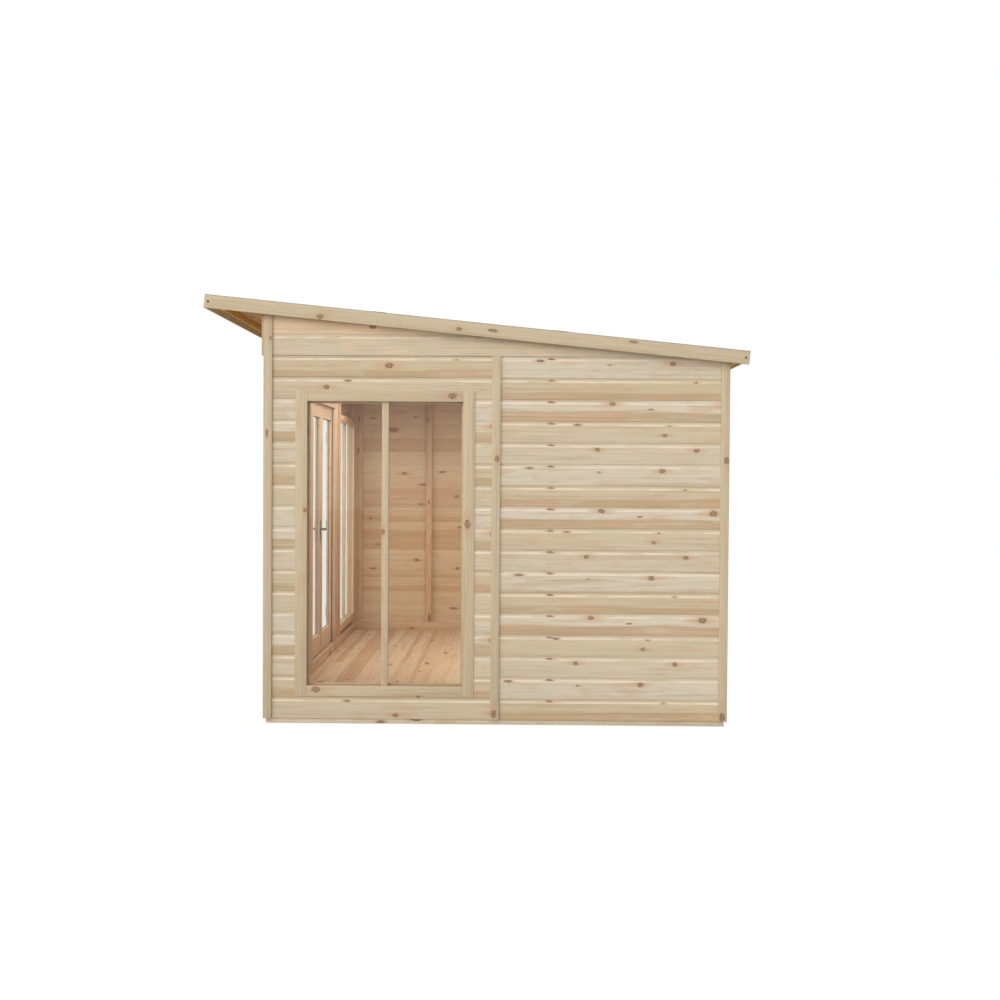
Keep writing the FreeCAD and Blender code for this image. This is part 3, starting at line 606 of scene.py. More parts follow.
    def _ground(self, tree: Tree, across: Socket, heart: Socket, pallor: Socket, streaks: Socket,
                drift: Socket) -> Socket:
        """Sapwood above a wavy edge, and heartwood below it.

        Args:
            tree: The material's nodes.
            across: The place across the board.
            heart: How high the heartwood reaches.
            pallor: How pale the sapwood is.
            streaks: Soft streaks along the grain.
            drift: Slow noise.

        Returns:
            The board's colour before lines and knots.
        """
        light = self._swing(tree, streaks)
        paleness = add_node(tree, "Math", {0: pallor, 1: light}, operation="ADD", use_clamp=True)
        sapwood = add_node(tree, "Mix", {0: paleness, 6: linear(self.sap), 7: linear(self.pale)},
                           2, data_type="RGBA")
        warmth = add_node(tree, "MapRange", {0: drift, 1: 0.35, 2: 0.65, 3: 0.0, 4: 1.0})
        heartwood = add_node(tree, "Mix", {0: warmth, 6: linear(self.heart), 7: linear(self.warm)},
                             2, data_type="RGBA")
        wave, soft = self.heart_wave_mm * MM, self.heart_edge_mm * MM
        edge = add_node(tree, "Math", {0: drift, 1: wave, 2: -wave / 2}, operation="MULTIPLY_ADD")
        level = add_node(tree, "Math", {0: heart, 1: edge}, operation="ADD")
        above = add_node(tree, "Math", {0: across, 1: level}, operation="SUBTRACT")
        below = add_node(tree, "MapRange", {0: above, 1: soft, 2: -soft, 3: 0.0, 4: 0.9},
                         interpolation_type="SMOOTHSTEP")
        has_heart = add_node(tree, "Math", {0: heart, 1: 1 * MM}, operation="GREATER_THAN")
        share = add_node(tree, "Math", {0: below, 1: has_heart}, operation="MULTIPLY")
        return add_node(tree, "Mix", {0: share, 6: sapwood, 7: heartwood}, 2, data_type="RGBA")


@dataclass(frozen=True)
class Metal:
    """Satin metal with the fine lines that polishing leaves, a little duller in patches."""

    name: str
    colour: str
    roughness: float
    # Real lines are too fine to show, so they are drawn coarser.
    line_mm: float = 0.6

    def material(self) -> Material:
        """Build the finish.

        Returns:
            The node material.
        """
        material, tree = new_material(self.name)
        spot = add_node(tree, "TexCoord", out="Object")
        across = 1000 / self.line_mm
        lines = add_node(tree, "VectorMath", {0: spot, 1: (20.0, across, across)}, operation="MULTIPLY")
        brushed = add_node(tree, "TexNoise", {"Vector": lines, "Scale": 1.0, "Detail": 2.0})
        patches = add_node(tree, "TexNoise", {"Vector": spot, "Scale": 60.0})
        dull = add_node(tree, "MapRange", {
            0: patches, 1: 0.3, 2: 0.7, 3: self.roughness - 0.05, 4: self.roughness + 0.08,
        })
        tint = add_node(tree, "Mix", {0: 0.25, 6: linear(self.colour), 7: brushed}, 2,
                        data_type="RGBA", blend_type="MULTIPLY")
        bump = add_node(tree, "Bump", {"Strength": 0.15, "Distance": 0.05 * MM, "Height": brushed})
        shader = add_node(tree, "BsdfPrincipled", {
            "Base Color": tint, "Metallic": 1.0, "Roughness": dull, "Normal": bump,
        })
        add_node(tree, "OutputMaterial", {"Surface": shader})
        return material


@dataclass(frozen=True)
class Felt:
    """Bitumen roofing felt under crushed mineral: a dull coat of grey and green-grey grains."""

    name: str
    dark: str
    light: str
    # Real grains are about half as wide, too fine to show, so they are drawn coarser.
    grain_mm: float = 1.6

    def material(self) -> Material:
        """Build the finish.

        Returns:
            The node material.
        """
        material, tree = new_material(self.name)
        spot = add_node(tree, "TexCoord", out="Object")
        grains = add_node(tree, "TexVoronoi", {"Vector": spot, "Scale": 1000 / self.grain_mm}, "Color")
        speck = add_node(tree, "SeparateColor", {0: grains})
        weather = add_node(tree, "TexNoise", {"Vector": spot, "Scale": 3.0, "Detail": 4.0})
        mixed = add_node(tree, "Math", {0: weather, 1: 0.5, 2: speck}, operation="MULTIPLY_ADD")
        shade = add_node(tree, "MapRange", {0: mixed, 1: 0.1, 2: 1.4, 3: 0.0, 4: 1.0})
        colour = add_node(tree, "Mix", {0: shade, 6: linear(self.dark), 7: linear(self.light)},
                          2, data_type="RGBA")
        bump = add_node(tree, "Bump", {
            "Strength": 0.6, "Distance": 0.6 * MM, "Height": grains.node.outputs["Distance"],
        })
        shader = add_node(tree, "BsdfPrincipled", {
            "Base Color": colour, "Roughness": 0.92, "Normal": bump, "Specular IOR Level": 0.25,
        })
        add_node(tree, "OutputMaterial", {"Surface": shader})
        return material


@dataclass(frozen=True)
class Glazing:
    """Clear float glass: almost colourless, with a faint green, and more of a mirror at low angles."""

    name: str
    tint: str
    square_on: float = 0.03
    slanted: float = 0.12

    def material(self) -> Material:
        """Build the finish.

        Returns:
            The node material.
        """
        material, tree = new_material(self.name)
        spot = add_node(tree, "TexCoord", out="Object")
        ripple = add_node(tree, "TexNoise", {"Vector": spot, "Scale": 5.0})
        bump = add_node(tree, "Bump", {"Strength": 0.04, "Distance": 0.5 * MM, "Height": ripple})
        clear = add_node(tree, "BsdfTransparent", {"Color": linear(self.tint)})
        mirror = add_node(tree, "BsdfGlossy", {
            "Color": (1, 1, 1, 1), "Roughness": 0.02, "Normal": bump,
        })
        slant = add_node(tree, "LayerWeight", {"Blend": 0.5}, "Facing")
        share = add_node(tree, "MapRange", {
            0: slant, 1: 0.4, 2: 1.0, 3: self.square_on, 4: self.slanted,
        }, interpolation_type="SMOOTHSTEP")
        shader = add_node(tree, "MixShader", {0: share, 1: clear, 2: mirror})
        add_node(tree, "OutputMaterial", {"Surface": shader})
        return material


# Dip-treated shiplap: cream and grey-white sapwood, khaki heartwood, pinkish-tan patches,
# and a painted highlight along each cove's lower edge.
CLADDING_OUT = Timber("planed_pine_shiplap", "#cfbc9b", "#dcd1bd", "#bca581", "#cfab88", "#b49a75",
                      "#cdc39d", painted_highlight_mm=93.0)
# The gables' boards, whose heartwood is pinker, and painted paler to lighten the shade under the
# bargeboards.
GABLE_OUT_LIGHTENED = replace(CLADDING_OUT, name="planed_pine_gable_board", heart="#e0c7a1", warm="#f1cfab")
# The boards' inner faces, a warmer and darker brown than their outer faces.
CLADDING_IN = Timber("pine_shiplap_inner_face", "#c8ab86", "#d2b998", "#bb9b74", "#c49971", "#ae8d66",
                     "#c4ad87", knot="#96704f", bark="#664832", streak_share=0.40, ring_share=0.18)
# Planed cover strips, bargeboards and fascias: an even biscuit tan.
COVER = Timber("planed_pine_cover_strip", "#c9b696", "#d4c4a8", "#c6ad8e", "#cba98a", "#b49b78",
               "#c9bb97", streak_mm=9.0)
# Window face boards and glazing bars, a shade pinker.
JOINERY = Timber("planed_redwood_joinery", "#cbb695", "#d7c6a9", "#c8ad8d", "#caa888", "#b49977",
                 "#cab998", streak_mm=9.0)
# Door leaves and the frame they close on, warm inside.
DOOR = Timber("planed_redwood_door", "#c1a485", "#cfb698", "#b78f6f", "#b98a68", "#a37954",
              "#bfa887", streak_mm=9.0)
# Framing timber, seen from inside.
FRAMING = Timber("planed_spruce_framing", "#c29d77", "#cead88", "#b78e68", "#bb8c64", "#a87e57",
                 "#bfa17e", knot="#85593a", bark="#523420", streak_mm=10.0, streak_share=0.40)
# Rafters and battens under the roof, golden: a tint that paints in the warm shade under the eaves.
RAFTER = replace(FRAMING, name="planed_spruce_rafter", sap="#d9b26f", pale="#e4c07e", heart="#cda262",
                 warm="#d09e5e", streak="#bd9053", cool="#d5b475")
# Tongued floorboards, orange-tan.
FLOORING = Timber("planed_pine_floorboard", "#c8a986", "#d7c0a1", "#bd9a76", "#c1956d", "#ae8662",
                  "#c8ae8c", knot="#855c3c", bark="#4f3321")
# Roof boards seen from below, orange: a tint that paints in the warm shade under the eaves.
ROOFING = Timber("planed_pine_roof_board", "#cb994f", "#daaa5d", "#bd8742", "#b97c38", "#a47336",
                 "#c89c55", knot="#6b4429", bark="#43291a")
# Bearers under the floor, of the same treated pine, painted paler to lighten the shade under the cladding's
# lower edge.
BEARER = Timber("rough_sawn_bearer", "#e2d3b8", "#ece0cc", "#cdb596", "#cdaf8c", "#bfa684", "#d6c9a9",
                roughness=0.75)
# The lever and its plates, brushed steel: a pale metal with a soft, even shine.
HANDLE = Metal("satin_steel_handle", "#c3c1bc", 0.30)
# Hinges and nails, plated in a zinc bath: a yellowish grey, duller than the handle.
ZINC = Metal("zinc_plated_steel", "#b9b4a6", 0.42)
# Screws with a passivated coat: dark bronze brown, with little shine.
SCREW = Metal("bronze_passivated_screw", "#5c4733", 0.45)
# Crushed mineral rolled into bitumen: matt, and speckled in grey and green-grey.
FELT = Felt("mineral_roofing_felt", "#5f625e", "#94968f")
# Float glass: clear when seen square-on, with faint waves in what it mirrors.
GLASS = Glazing("clear_float_glass", "#fcfdfc")


class Bench:
    """The few things done to a mesh by hand: making, cutting, joining and easing it."""

    # How near vertices are merged, how flat faces are merged, and how sharp an arris is eased.
    MERGED = 0.02 * MM
    FLAT = math.radians(0.5)
    SHARP = math.radians(40)

    @staticmethod
    def pick(*pieces: Piece) -> None:
        """Select these objects alone, and make the first one active.

        Args:
            *pieces: The objects.
        """
        bpy.ops.object.select_all(action="DESELECT")
        for piece in pieces:
            piece.select_set(True)
        bpy.context.view_layer.objects.active = pieces[0]

    @classmethod
    def settle(cls, piece: Piece) -> None:
        """Put an object's place, turn and size into its mesh."""
        cls.pick(piece)
        bpy.ops.object.transform_apply(location=True, rotation=True, scale=True)

    @classmethod
    def blank(cls, name: str, add: Callable[..., object], **shape: object) -> Piece:
        """Make a blank that the later work starts from.

        Args:
            name: The object's name.
            add: The operator that adds its primitive.
            **shape: The primitive's size and place.

        Returns:
            The new object.
        """
        bpy.ops.object.select_all(action="DESELECT")
        add(**shape)
        piece = bpy.context.object
        piece.name = name
        cls.settle(piece)
        return piece

    @classmethod
    def slab(cls, name: str, box: Box) -> Piece:
        """Make a squared blank that fills a box."""
        return cls.blank(name, bpy.ops.mesh.primitive_cube_add, size=1, location=box.centre, scale=box.size)

    @classmethod
    def disc(cls, name: str, centre: Sequence[float], radius: float, depth: float,
             turn: Sequence[float] = (0, 0, 0), sides: int = 20) -> Piece:
        """Make a short round blank about its middle, turned from lying flat."""
        return cls.blank(name, bpy.ops.mesh.primitive_cylinder_add, vertices=sides, radius=radius,
                         depth=depth, location=centre, rotation=turn)

    @classmethod
    def modify(cls, piece: Piece, kind: str, **settings: object) -> None:
        """Add a modifier and apply it.

        Args:
            piece: The object it works on.
            kind: The modifier's type.
            **settings: Its properties.
        """
        cls.pick(piece)
        modifier = piece.modifiers.new(kind.title(), kind)
        for key, value in settings.items():
            setattr(modifier, key, value)
        bpy.ops.object.modifier_apply(modifier=modifier.name)

    @classmethod
    def repeat(cls, piece: Piece, count: int, step: Sequence[float]) -> None:
        """Repeat a piece in a row of meshes that are one object."""
        cls.modify(piece, "ARRAY", count=count, use_relative_offset=False,
                   use_constant_offset=True, constant_offset_displace=step)

    @classmethod
    def cut(cls, piece: Piece, tools: Iterable[Piece]) -> None:
        """Cut a piece with blanks.

        Args:
            piece: The piece.
            tools: The blanks, which are used up.
        """
        for tool in tools:
            cls.modify(piece, "BOOLEAN", object=tool, operation="DIFFERENCE", solver="EXACT")
            bpy.data.objects.remove(tool)

    @classmethod
    def trim(cls, piece: Piece, point: Sequence[float], outward: Sequence[float]) -> None:
        """Take off what lies beyond a plane, and close the cut.

        Args:
            piece: The piece.
            point: A point on the plane.
            outward: The plane's normal, towards what goes.
        """
        cls.pick(piece)
        bpy.ops.object.mode_set(mode="EDIT")
        bpy.ops.mesh.select_all(action="SELECT")
        bpy.ops.mesh.bisect(plane_co=point, plane_no=outward, use_fill=True, clear_outer=True)
        bpy.ops.object.mode_set(mode="OBJECT")

    @classmethod
    def join(cls, name: str, pieces: Sequence[Piece]) -> Piece:
        """Join pieces into one object.

        Args:
            name: The joined object's name.
            pieces: What is joined.

        Returns:
            The joined object.
        """
        cls.pick(*pieces)
        if len(pieces) > 1:
            bpy.ops.object.join()
        joined = bpy.context.view_layer.objects.active
        joined.name = name
        joined.data.name = name
        return joined

    @classmethod
    def copy_of(cls, name: str, node: str) -> Piece:
        """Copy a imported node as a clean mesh.

        Args:
            name: The new object's name.
            node: The node that is copied.

        Returns:
            The new object, with its triangles merged into flat faces.
        """
        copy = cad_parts[node].copy()
        copy.data = copy.data.copy()
        copy.data.materials.clear()
        copy.parent = None
        copy.matrix_world = Matrix.Identity(4)
        for key in list(copy.keys()):
            del copy[key]
        bpy.context.scene.collection.objects.link(copy)
        piece = cls.join(name, [copy])
        bpy.ops.object.mode_set(mode="EDIT")
        bpy.ops.mesh.select_all(action="SELECT")
        bpy.ops.mesh.remove_doubles(threshold=cls.MERGED)
        bpy.ops.mesh.dissolve_limited(angle_limit=cls.FLAT)
        bpy.ops.object.mode_set(mode="OBJECT")
        return piece

    @classmethod
    def ease(cls, piece: Piece, width: float, segments: int = 2) -> None:
        """Round a piece's arrises as planing does.

        Args:
            piece: The piece.
            width: How wide the rounding is.
            segments: How many flats it has.
        """
        cls.modify(piece, "BEVEL", width=width, segments=segments, limit_method="ANGLE",
                   angle_limit=cls.SHARP, use_clamp_overlap=True)
        cls.smooth(piece)

    @classmethod
    def smooth(cls, piece: Piece, angle: float = 30.0) -> None:
        """Shade a piece smooth across its shallow edges."""
        cls.pick(piece)
        bpy.ops.object.shade_smooth_by_angle(angle=math.radians(angle))

    @classmethod
    def hand_over(cls, piece: Piece, materials: Sequence[Material], slot: Slot,
                  body: Body = Body.ROOT, nodes: Sequence[str] = ()) -> None:
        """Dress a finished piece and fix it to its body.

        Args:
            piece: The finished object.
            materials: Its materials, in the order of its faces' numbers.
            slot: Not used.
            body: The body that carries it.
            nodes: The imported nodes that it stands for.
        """
        for material in materials:
            piece.data.materials.append(material)
        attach(piece, body.value)
        if nodes:
            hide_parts(*nodes)
        log.info("%s: %d faces on %s", piece.name, len(piece.data.polygons), body.value)


@dataclass(frozen=True)
class Lie:
    """How a board lies in its mesh.

    order is the axes along the board, across it and through it, start its lower corner, width
    its size across, and course its number counted from the lowest.
    """

    order: list[int]
    start: np.ndarray
    width: float
    course: int = 0


class Grain:
    """Tells each board's mesh where its grain runs and where its knots are."""

    # A knot's radius at most, also as a share of the board's width, and how it varies.
    LARGEST_KNOT = 12 * MM
    KNOT_WIDTH_SHARE = 0.22
    KNOT_SIZES = (0.4, 1.0)
    # Where knots lie across a board, in widths, and how many of them are spikes.
    KNOT_PLACES = (0.1, 0.9)
    SPIKE_SHARE = 0.4
    # How far the heartwood reaches across a board, in widths, and how pale the sapwood is.
    HEARTS = (0.0, 0.0, 0.0, 0.25, 0.4, 1.2)
    TONES = (0.1, 1.0)
    EVEN_TONES = (0.4, 0.7)
    SEEDS = (0, 60)

    def __init__(self, seed: str) -> None:
        """Start a run of random draws that is the same every time.

        Args:
            seed: A word that names the run.
        """
        self.rng = random.Random(seed)

    @staticmethod
    def boards(mesh: bpy.types.Mesh) -> list[np.ndarray]:
        """Find the boards of a mesh.

        Args:
            mesh: A mesh of boards that don't touch.

        Returns:
            The vertices of each.
        """
        parent = list(range(len(mesh.vertices)))

        def root(place: int) -> int:
            """The board that a vertex is known to belong to."""
            while parent[place] != place:
                parent[place] = parent[parent[place]]
                place = parent[place]
            return place

        for edge in mesh.edges:
            first, last = (root(vertex) for vertex in edge.vertices)
            parent[first] = last
        found: dict[int, list[int]] = {}
        for vertex in range(len(parent)):
            found.setdefault(root(vertex), []).append(vertex)
        return [np.array(members) for members in found.values()]

    @staticmethod
    def points(mesh: bpy.types.Mesh) -> np.ndarray:
        """Read a mesh's vertices.

        Args:
            mesh: The mesh.

        Returns:
            A row of three numbers for each vertex.
        """
        flat = np.zeros(len(mesh.vertices) * 3, np.float32)
        mesh.vertices.foreach_get("co", flat)
        return flat.reshape(-1, 3)

    @staticmethod
    def lie(corners: np.ndarray, along: Axis | None, cover: float | None, base: float) -> Lie:
        """Find how a board lies.

        Args:
            corners: The board's vertices.
            along: The way it runs, or None for its longest side.
            cover: The height of one course, where boards are cut round an opening.
            base: The height of the lowest board's lower edge.

        Returns:
            The board's lie.
        """
        low, high = corners.min(0), corners.max(0)
        order = [int(axis) for axis in np.argsort(high - low)[::-1]]
        if cover is not None:
            course = int(((low[2] + high[2]) / 2 - base) // cover)
            start = np.array((low[0], low[1], base + course * cover))
            return Lie([along.value, Axis.Z.value, 1 - along.value], start, cover, course)
        if along is not None:
            order = [along.value] + [axis for axis in order if axis != along.value]
        return Lie(order, low, float((high - low)[order[1]]))

    def mark(self, piece: Piece, along: Axis | None = None, cover: float | None = None,
             looks: Sequence[BoardLook] = (), knots: Sequence[Knot] = (), knot_spacing: float = 0.8,
             pitch: float = 0.0, even: bool = False) -> None:
        """Write the grain, the heartwood and the knots of each board into a mesh.

        Args:
            piece: The object, whose boards don't touch.
            along: The way the boards run, or None for each board's longest side.
            cover: The height of one course, where boards are cut round an opening.
            looks: The boards' looks by course, for the end wall.
            knots: Knots of the end wall by their place along +Y and up.
            knot_spacing: About how far apart other knots lie.
            pitch: How far the boards tip down towards the rear.
            even: Whether the boards were picked for an even tone.
        """
        mesh = piece.data
        level = np.array(Matrix.Rotation(pitch, 3, "X"))
        spots = self.points(mesh) @ level.T
        base = float(spots[:, 2].min())
        names = ("grain", "board", *KNOT_SLOTS)
        values = {name: np.zeros((len(spots), 3), np.float32) for name in names}
        levelled = [(level @ (0.0, knot.along, knot.across), knot) for knot in knots]
        for members in self.boards(mesh):
            corners = spots[members]
            low, high = corners.min(0), corners.max(0)
            lie = self.lie(corners, along, cover, base)
            look = self._draw(float((high - low)[lie.order[0]]), lie.width, knot_spacing, even)
            if looks:
                look = looks[lie.course % len(looks)].moved(-float(lie.start[1]))
            seen = [
                Knot(*(float((spot - lie.start)[axis]) for axis in lie.order[:2]), knot.radius, knot.spike)
                for spot, knot in levelled
                if low[1] < spot[1] < high[1] and low[2] < spot[2] < high[2]
            ]
            values["grain"][members] = (corners - lie.start)[:, lie.order]
            values["board"][members] = (self.rng.uniform(*self.SEEDS), look.heart, look.pale)
            shown = seen + list(look.knots if looks or not seen else ())
            for slots, spike in ((ROUND_KNOTS, False), (SPIKE_KNOTS, True)):
                chosen = [(knot.along, knot.across, knot.radius) for knot in shown if knot.spike is spike]
                for place, slot in enumerate(slots):
                    values[slot][members] = chosen[place] if place < len(chosen) else NO_KNOT
        for name, rows in values.items():
            attribute = mesh.attributes.new(name, "FLOAT_VECTOR", "POINT")
            attribute.data.foreach_set("vector", rows.ravel())

    def _draw(self, length: float, width: float, spacing: float, even: bool) -> BoardLook:
        """Draw the look of one board.

        Args:
            length: The board's length.
            width: Its width.
            spacing: About how far apart its knots lie.
            even: Whether its tone is even.

        Returns:
            Its look, with at most as many knots as a board can hold.
        """
        draw = self.rng.uniform
        count = min(len(KNOT_SLOTS), int(length / spacing + self.rng.random()))
        largest = min(self.LARGEST_KNOT, width * self.KNOT_WIDTH_SHARE)
        knots = tuple(
            Knot(draw(0, length), draw(*self.KNOT_PLACES) * width, draw(*self.KNOT_SIZES) * largest,
                 self.rng.random() < self.SPIKE_SHARE)
            for _ in range(count)
        )
        heart = 0.0 if even else self.rng.choice(self.HEARTS) * width
        return BoardLook(heart, draw(*(self.EVEN_TONES if even else self.TONES)), knots)


def top_slope(node: str) -> tuple[Vector, Vector]:
    """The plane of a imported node's sloping top.

    Args:
        node: A node whose highest edge is at its front.

    Returns:
        A point on the plane and the plane's upward normal.
    """
    spots = Grain.points(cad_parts[node].data)
    first, last = float(spots[:, 1].min()), float(spots[:, 1].max())
    front = float(spots[spots[:, 1] < first + MM][:, 2].max())
    rear = float(spots[spots[:, 1] > last - MM][:, 2].max())
    return Vector((0, first, front)), Vector((0, front - rear, last - first)).normalized()


def roof_pitch() -> float:
    """How far the roof tips down towards the rear, in radians."""
    normal = top_slope("gable_boards")[1]
    return math.atan2(normal.y, normal.z)


@dataclass(frozen=True)
class Moulding:
    """A shape run along a board's edge: the edge's height and Y, its reach, flats and profile.

    A profile of 0.5 is a round, and one under 0.25 is a cove.
    """

    height: float
    place: float
    reach: float
    flats: int
    profile: float = 0.5


@dataclass(frozen=True)
class Wall:
    """A clad wall: the spaces that its panels fill, and the holes in the first of them."""

    piece: str
    node: str
    facing: Facing
    panels: Sequence[Box]
    holes: Sequence[Box] = ()


@dataclass
class Shiplap:
    """Horizontal cladding: boards with a coved upper edge, in panels cut round the openings."""

    cover: float = 112 * MM
    cove_height: float = 22 * MM
    cove_depth: float = 4.5 * MM
    cove_profile: float = 0.19
    lower_round: float = 1.2 * MM
    board_gap: float = 0.2 * MM
    inner_chamfer: float = 1.0 * MM
    cutter_reach: float = 50 * MM

    def course(self, name: str, length: float, thickness: float) -> Piece:
        """Model one board, along +X with its outer face at Y 0.

        Its mouldings are run while it is stretched in thickness, which makes the cove higher
        than it is deep.

        Args:
            name: The object's name.
            length: The board's length.
            thickness: Its thickness.

        Returns:
            The board.
        """
        stretch = self.cove_height / self.cove_depth
        depth = thickness * stretch
        low = Vector((0, 0, self.board_gap / 2))
        board = Bench.slab(name, Box(low, Vector((length, depth, self.cover - self.board_gap / 2))))
        for moulding in (
            Moulding(self.cover, 0.0, self.cove_height, 6, self.cove_profile),
            Moulding(0.0, 0.0, self.lower_round * 2, 2),
            Moulding(self.cover, depth, self.inner_chamfer, 1),
            Moulding(0.0, depth, self.inner_chamfer, 1),
        ):
            self._shape_edge(board, moulding)
        board.scale = (1, 1 / stretch, 1)
        Bench.settle(board)
        return board

    @staticmethod
    def _shape_edge(board: Piece, moulding: Moulding) -> None:
        """Run a moulding along one long edge of a board.

        Args:
            board: The board.
            moulding: The moulding.
        """
        Bench.pick(board)
        bpy.ops.object.mode_set(mode="EDIT")
        bpy.ops.mesh.select_mode(type="EDGE")
        bpy.ops.mesh.select_all(action="DESELECT")
        bpy.ops.object.mode_set(mode="OBJECT")
        for edge in board.data.edges:
            ends = [board.data.vertices[vertex].co for vertex in edge.vertices]
            edge.select = all(
                abs(co.z - moulding.height) < MM / 2 and abs(co.y - moulding.place) < MM / 2 for co in ends
            )
        bpy.ops.object.mode_set(mode="EDIT")
        bpy.ops.mesh.bevel(offset=moulding.reach, segments=moulding.flats, profile=moulding.profile)
        bpy.ops.object.mode_set(mode="OBJECT")

    def panel(self, name: str, facing: Facing, box: Box, holes: Sequence[Box] = ()) -> Piece:
        """Model one panel of boards.

        Args:
            name: The object's name.
            facing: The way it looks.
            box: The space that its boards fill.
            holes: What is cut out of it.

        Returns:
            The panel's boards as one mesh.
        """
        along = facing.along
        board = self.course(name, box.size[along.value], box.size[1 - along.value])
        Bench.repeat(board, math.ceil(box.size.z / self.cover), (0, 0, self.cover))
        board.rotation_euler = (0, 0, math.radians(facing.value))
        Bench.settle(board)
        board.location = box.low - Vector(Grain.points(board.data).min(0).tolist())
        board.location.z = box.low.z
        Bench.settle(board)
        Bench.trim(board, (0, 0, box.high.z), (0, 0, 1))
        Bench.cut(board, [Bench.slab("cutter", hole) for hole in holes])
        return board

    @staticmethod
    def face(piece: Piece, facing: Facing) -> None:
        """Give the faces that look into the room their own material.

        Args:
            piece: The boards.
            facing: The way their outer faces look.
        """
        for polygon in piece.data.polygons:
            polygon.material_index = int(polygon.normal.dot(facing.normal) < -0.9)
        Bench.smooth(piece, 40)

    def build(self) -> None:
        """Board the four walls and the gables."""
        outer, inner, gable = (kind.material() for kind in (CLADDING_OUT, CLADDING_IN, GABLE_OUT_LIGHTENED))
        for wall in self._walls():
            panels = [self._wall_panel(wall, place) for place in range(len(wall.panels))]
            piece = Bench.join(wall.piece, panels)
            self.face(piece, wall.facing)
            Bench.hand_over(piece, (outer, inner), Slot.CLADDING, nodes=[wall.node])
        ends = [self._gable(facing) for facing in (Facing.WINDOW_END, Facing.PLAIN_END)]
        Bench.hand_over(Bench.join("shiplap_gables", ends), (gable, inner), Slot.CLADDING,
                        nodes=["gable_boards"])

    def _walls(self) -> tuple[Wall, ...]:
        """The four walls, the front one in three parts."""
        left, centre, right = (Box.of_node(f"front_cladding_{part}") for part in ("left", "middle", "right"))
        back = Box.of_node("back_cladding")
        back_parts = ((back.low.x, left.high.x), (centre.low.x, centre.high.x), (right.low.x, back.high.x))
        return (
            Wall("shiplap_front_left", "front_cladding_left", Facing.FRONT, [left],
                 self._window_hole("front_left")),
            Wall("shiplap_front_right", "front_cladding_right", Facing.FRONT, [right],
                 self._window_hole("front_right")),
            Wall("shiplap_front_middle", "front_cladding_middle", Facing.FRONT, [centre],
                 self._door_holes(centre)),
            Wall("shiplap_back", "back_cladding", Facing.BACK,
                 [back.between(Axis.X, *part) for part in back_parts]),
            Wall("shiplap_window_end", "window_end_cladding", Facing.WINDOW_END,
                 self._halves("window_end_cladding"), self._window_hole("window_end")),
            Wall("shiplap_plain_end", "plain_end_cladding", Facing.PLAIN_END,
                 self._halves("plain_end_cladding")),
        )

    @staticmethod
    def _halves(node: str) -> list[Box]:
        """The front and rear panels of an end wall, which meet at Y 0."""
        end = Box.of_node(node)
        return [end.between(Axis.Y, end.low.y, -FIT), end.between(Axis.Y, FIT, end.high.y)]

    @staticmethod
    def _window_hole(window: str) -> list[Box]:
        """The hole that a window's face boards fill."""
        return [Box.of_node(f"{window}_window_frame").grown(FIT)]

    def _door_holes(self, panel: Box) -> list[Box]:
        """The doorway, and the housings of the door posts beside it.

        Args:
            panel: The panel that the doors stand in.

        Returns:
            The doorway and one hole for each post.
        """
        posts, sill, head = (Box.of_node(node) for node in ("door_posts", "door_sill", "door_head"))
        reach = self.cutter_reach
        front, rear = panel.low.y - reach, panel.high.y + reach
        doorway = Box(Vector((sill.low.x, front, sill.low.z)), Vector((sill.high.x, rear, head.low.z)))
        return [doorway] + [
            Box(Vector((start, front, posts.low.z)), Vector((end, rear, posts.high.z + FIT)))
            for start, end in ((posts.low.x - reach, sill.low.x), (sill.high.x, posts.high.x + reach))
        ]

    def _wall_panel(self, wall: Wall, place: int) -> Piece:
        """Model a panel of a wall with its grain.

        Args:
            wall: The wall.
            place: The panel's place in it.

        Returns:
            The panel.
        """
        holes = wall.holes if place == 0 else ()
        panel = self.panel(f"{wall.piece}_{place}", wall.facing, wall.panels[place], holes)
        seen = wall.facing is Facing.WINDOW_END
        Grain(f"{wall.piece}{place}").mark(
            panel, wall.facing.along, self.cover, self._looks(place) if seen else (),
            END_WALL_KNOTS if seen and place == 0 else ())
        return panel

    def _gable(self, facing: Facing) -> Piece:
        """Model the boards over one end wall, up to the roof's slope.

        Args:
            facing: The way the end looks.

        Returns:
            The gable.
        """
        gables = Box.of_node("gable_boards")
        wall = Box.of_node(f"{facing.name.lower()}_cladding")
        sides = (wall.low.x, gables.high.x) if facing is Facing.WINDOW_END else (gables.low.x, wall.high.x)
        gable = self.panel(f"gable_{facing.name.lower()}", facing, gables.between(Axis.X, *sides))
        Bench.trim(gable, *top_slope("gable_boards"))
        Grain(f"gable{facing.name}").mark(gable, Axis.Y, self.cover, GABLE_LOOKS, END_WALL_KNOTS)
        self.face(gable, facing)
        return gable

    @staticmethod
    def _looks(place: int) -> tuple[BoardLook, ...]:
        """The looks of the end wall's boards, from the lowest course up.

        Args:
            place: 0 for the panel with the window, 1 for the plain one.

        Returns:
            One look for each course.
        """
        count = len(BOARD_LOOKS)
        if place == 0:
            return tuple(
                BOARD_LOOKS[(course * WINDOW_PANEL_STRIDE + 1) % count].moved(WINDOW_PANEL_SHIFT)
                for course in range(COURSES)
            )
        repeats = (divmod(FIRST_LOOK_COURSE - course, count) for course in range(COURSES))
        return tuple(BOARD_LOOKS[look].moved(-LOOK_STEP * times, TOP_MARK) for times, look in repeats)


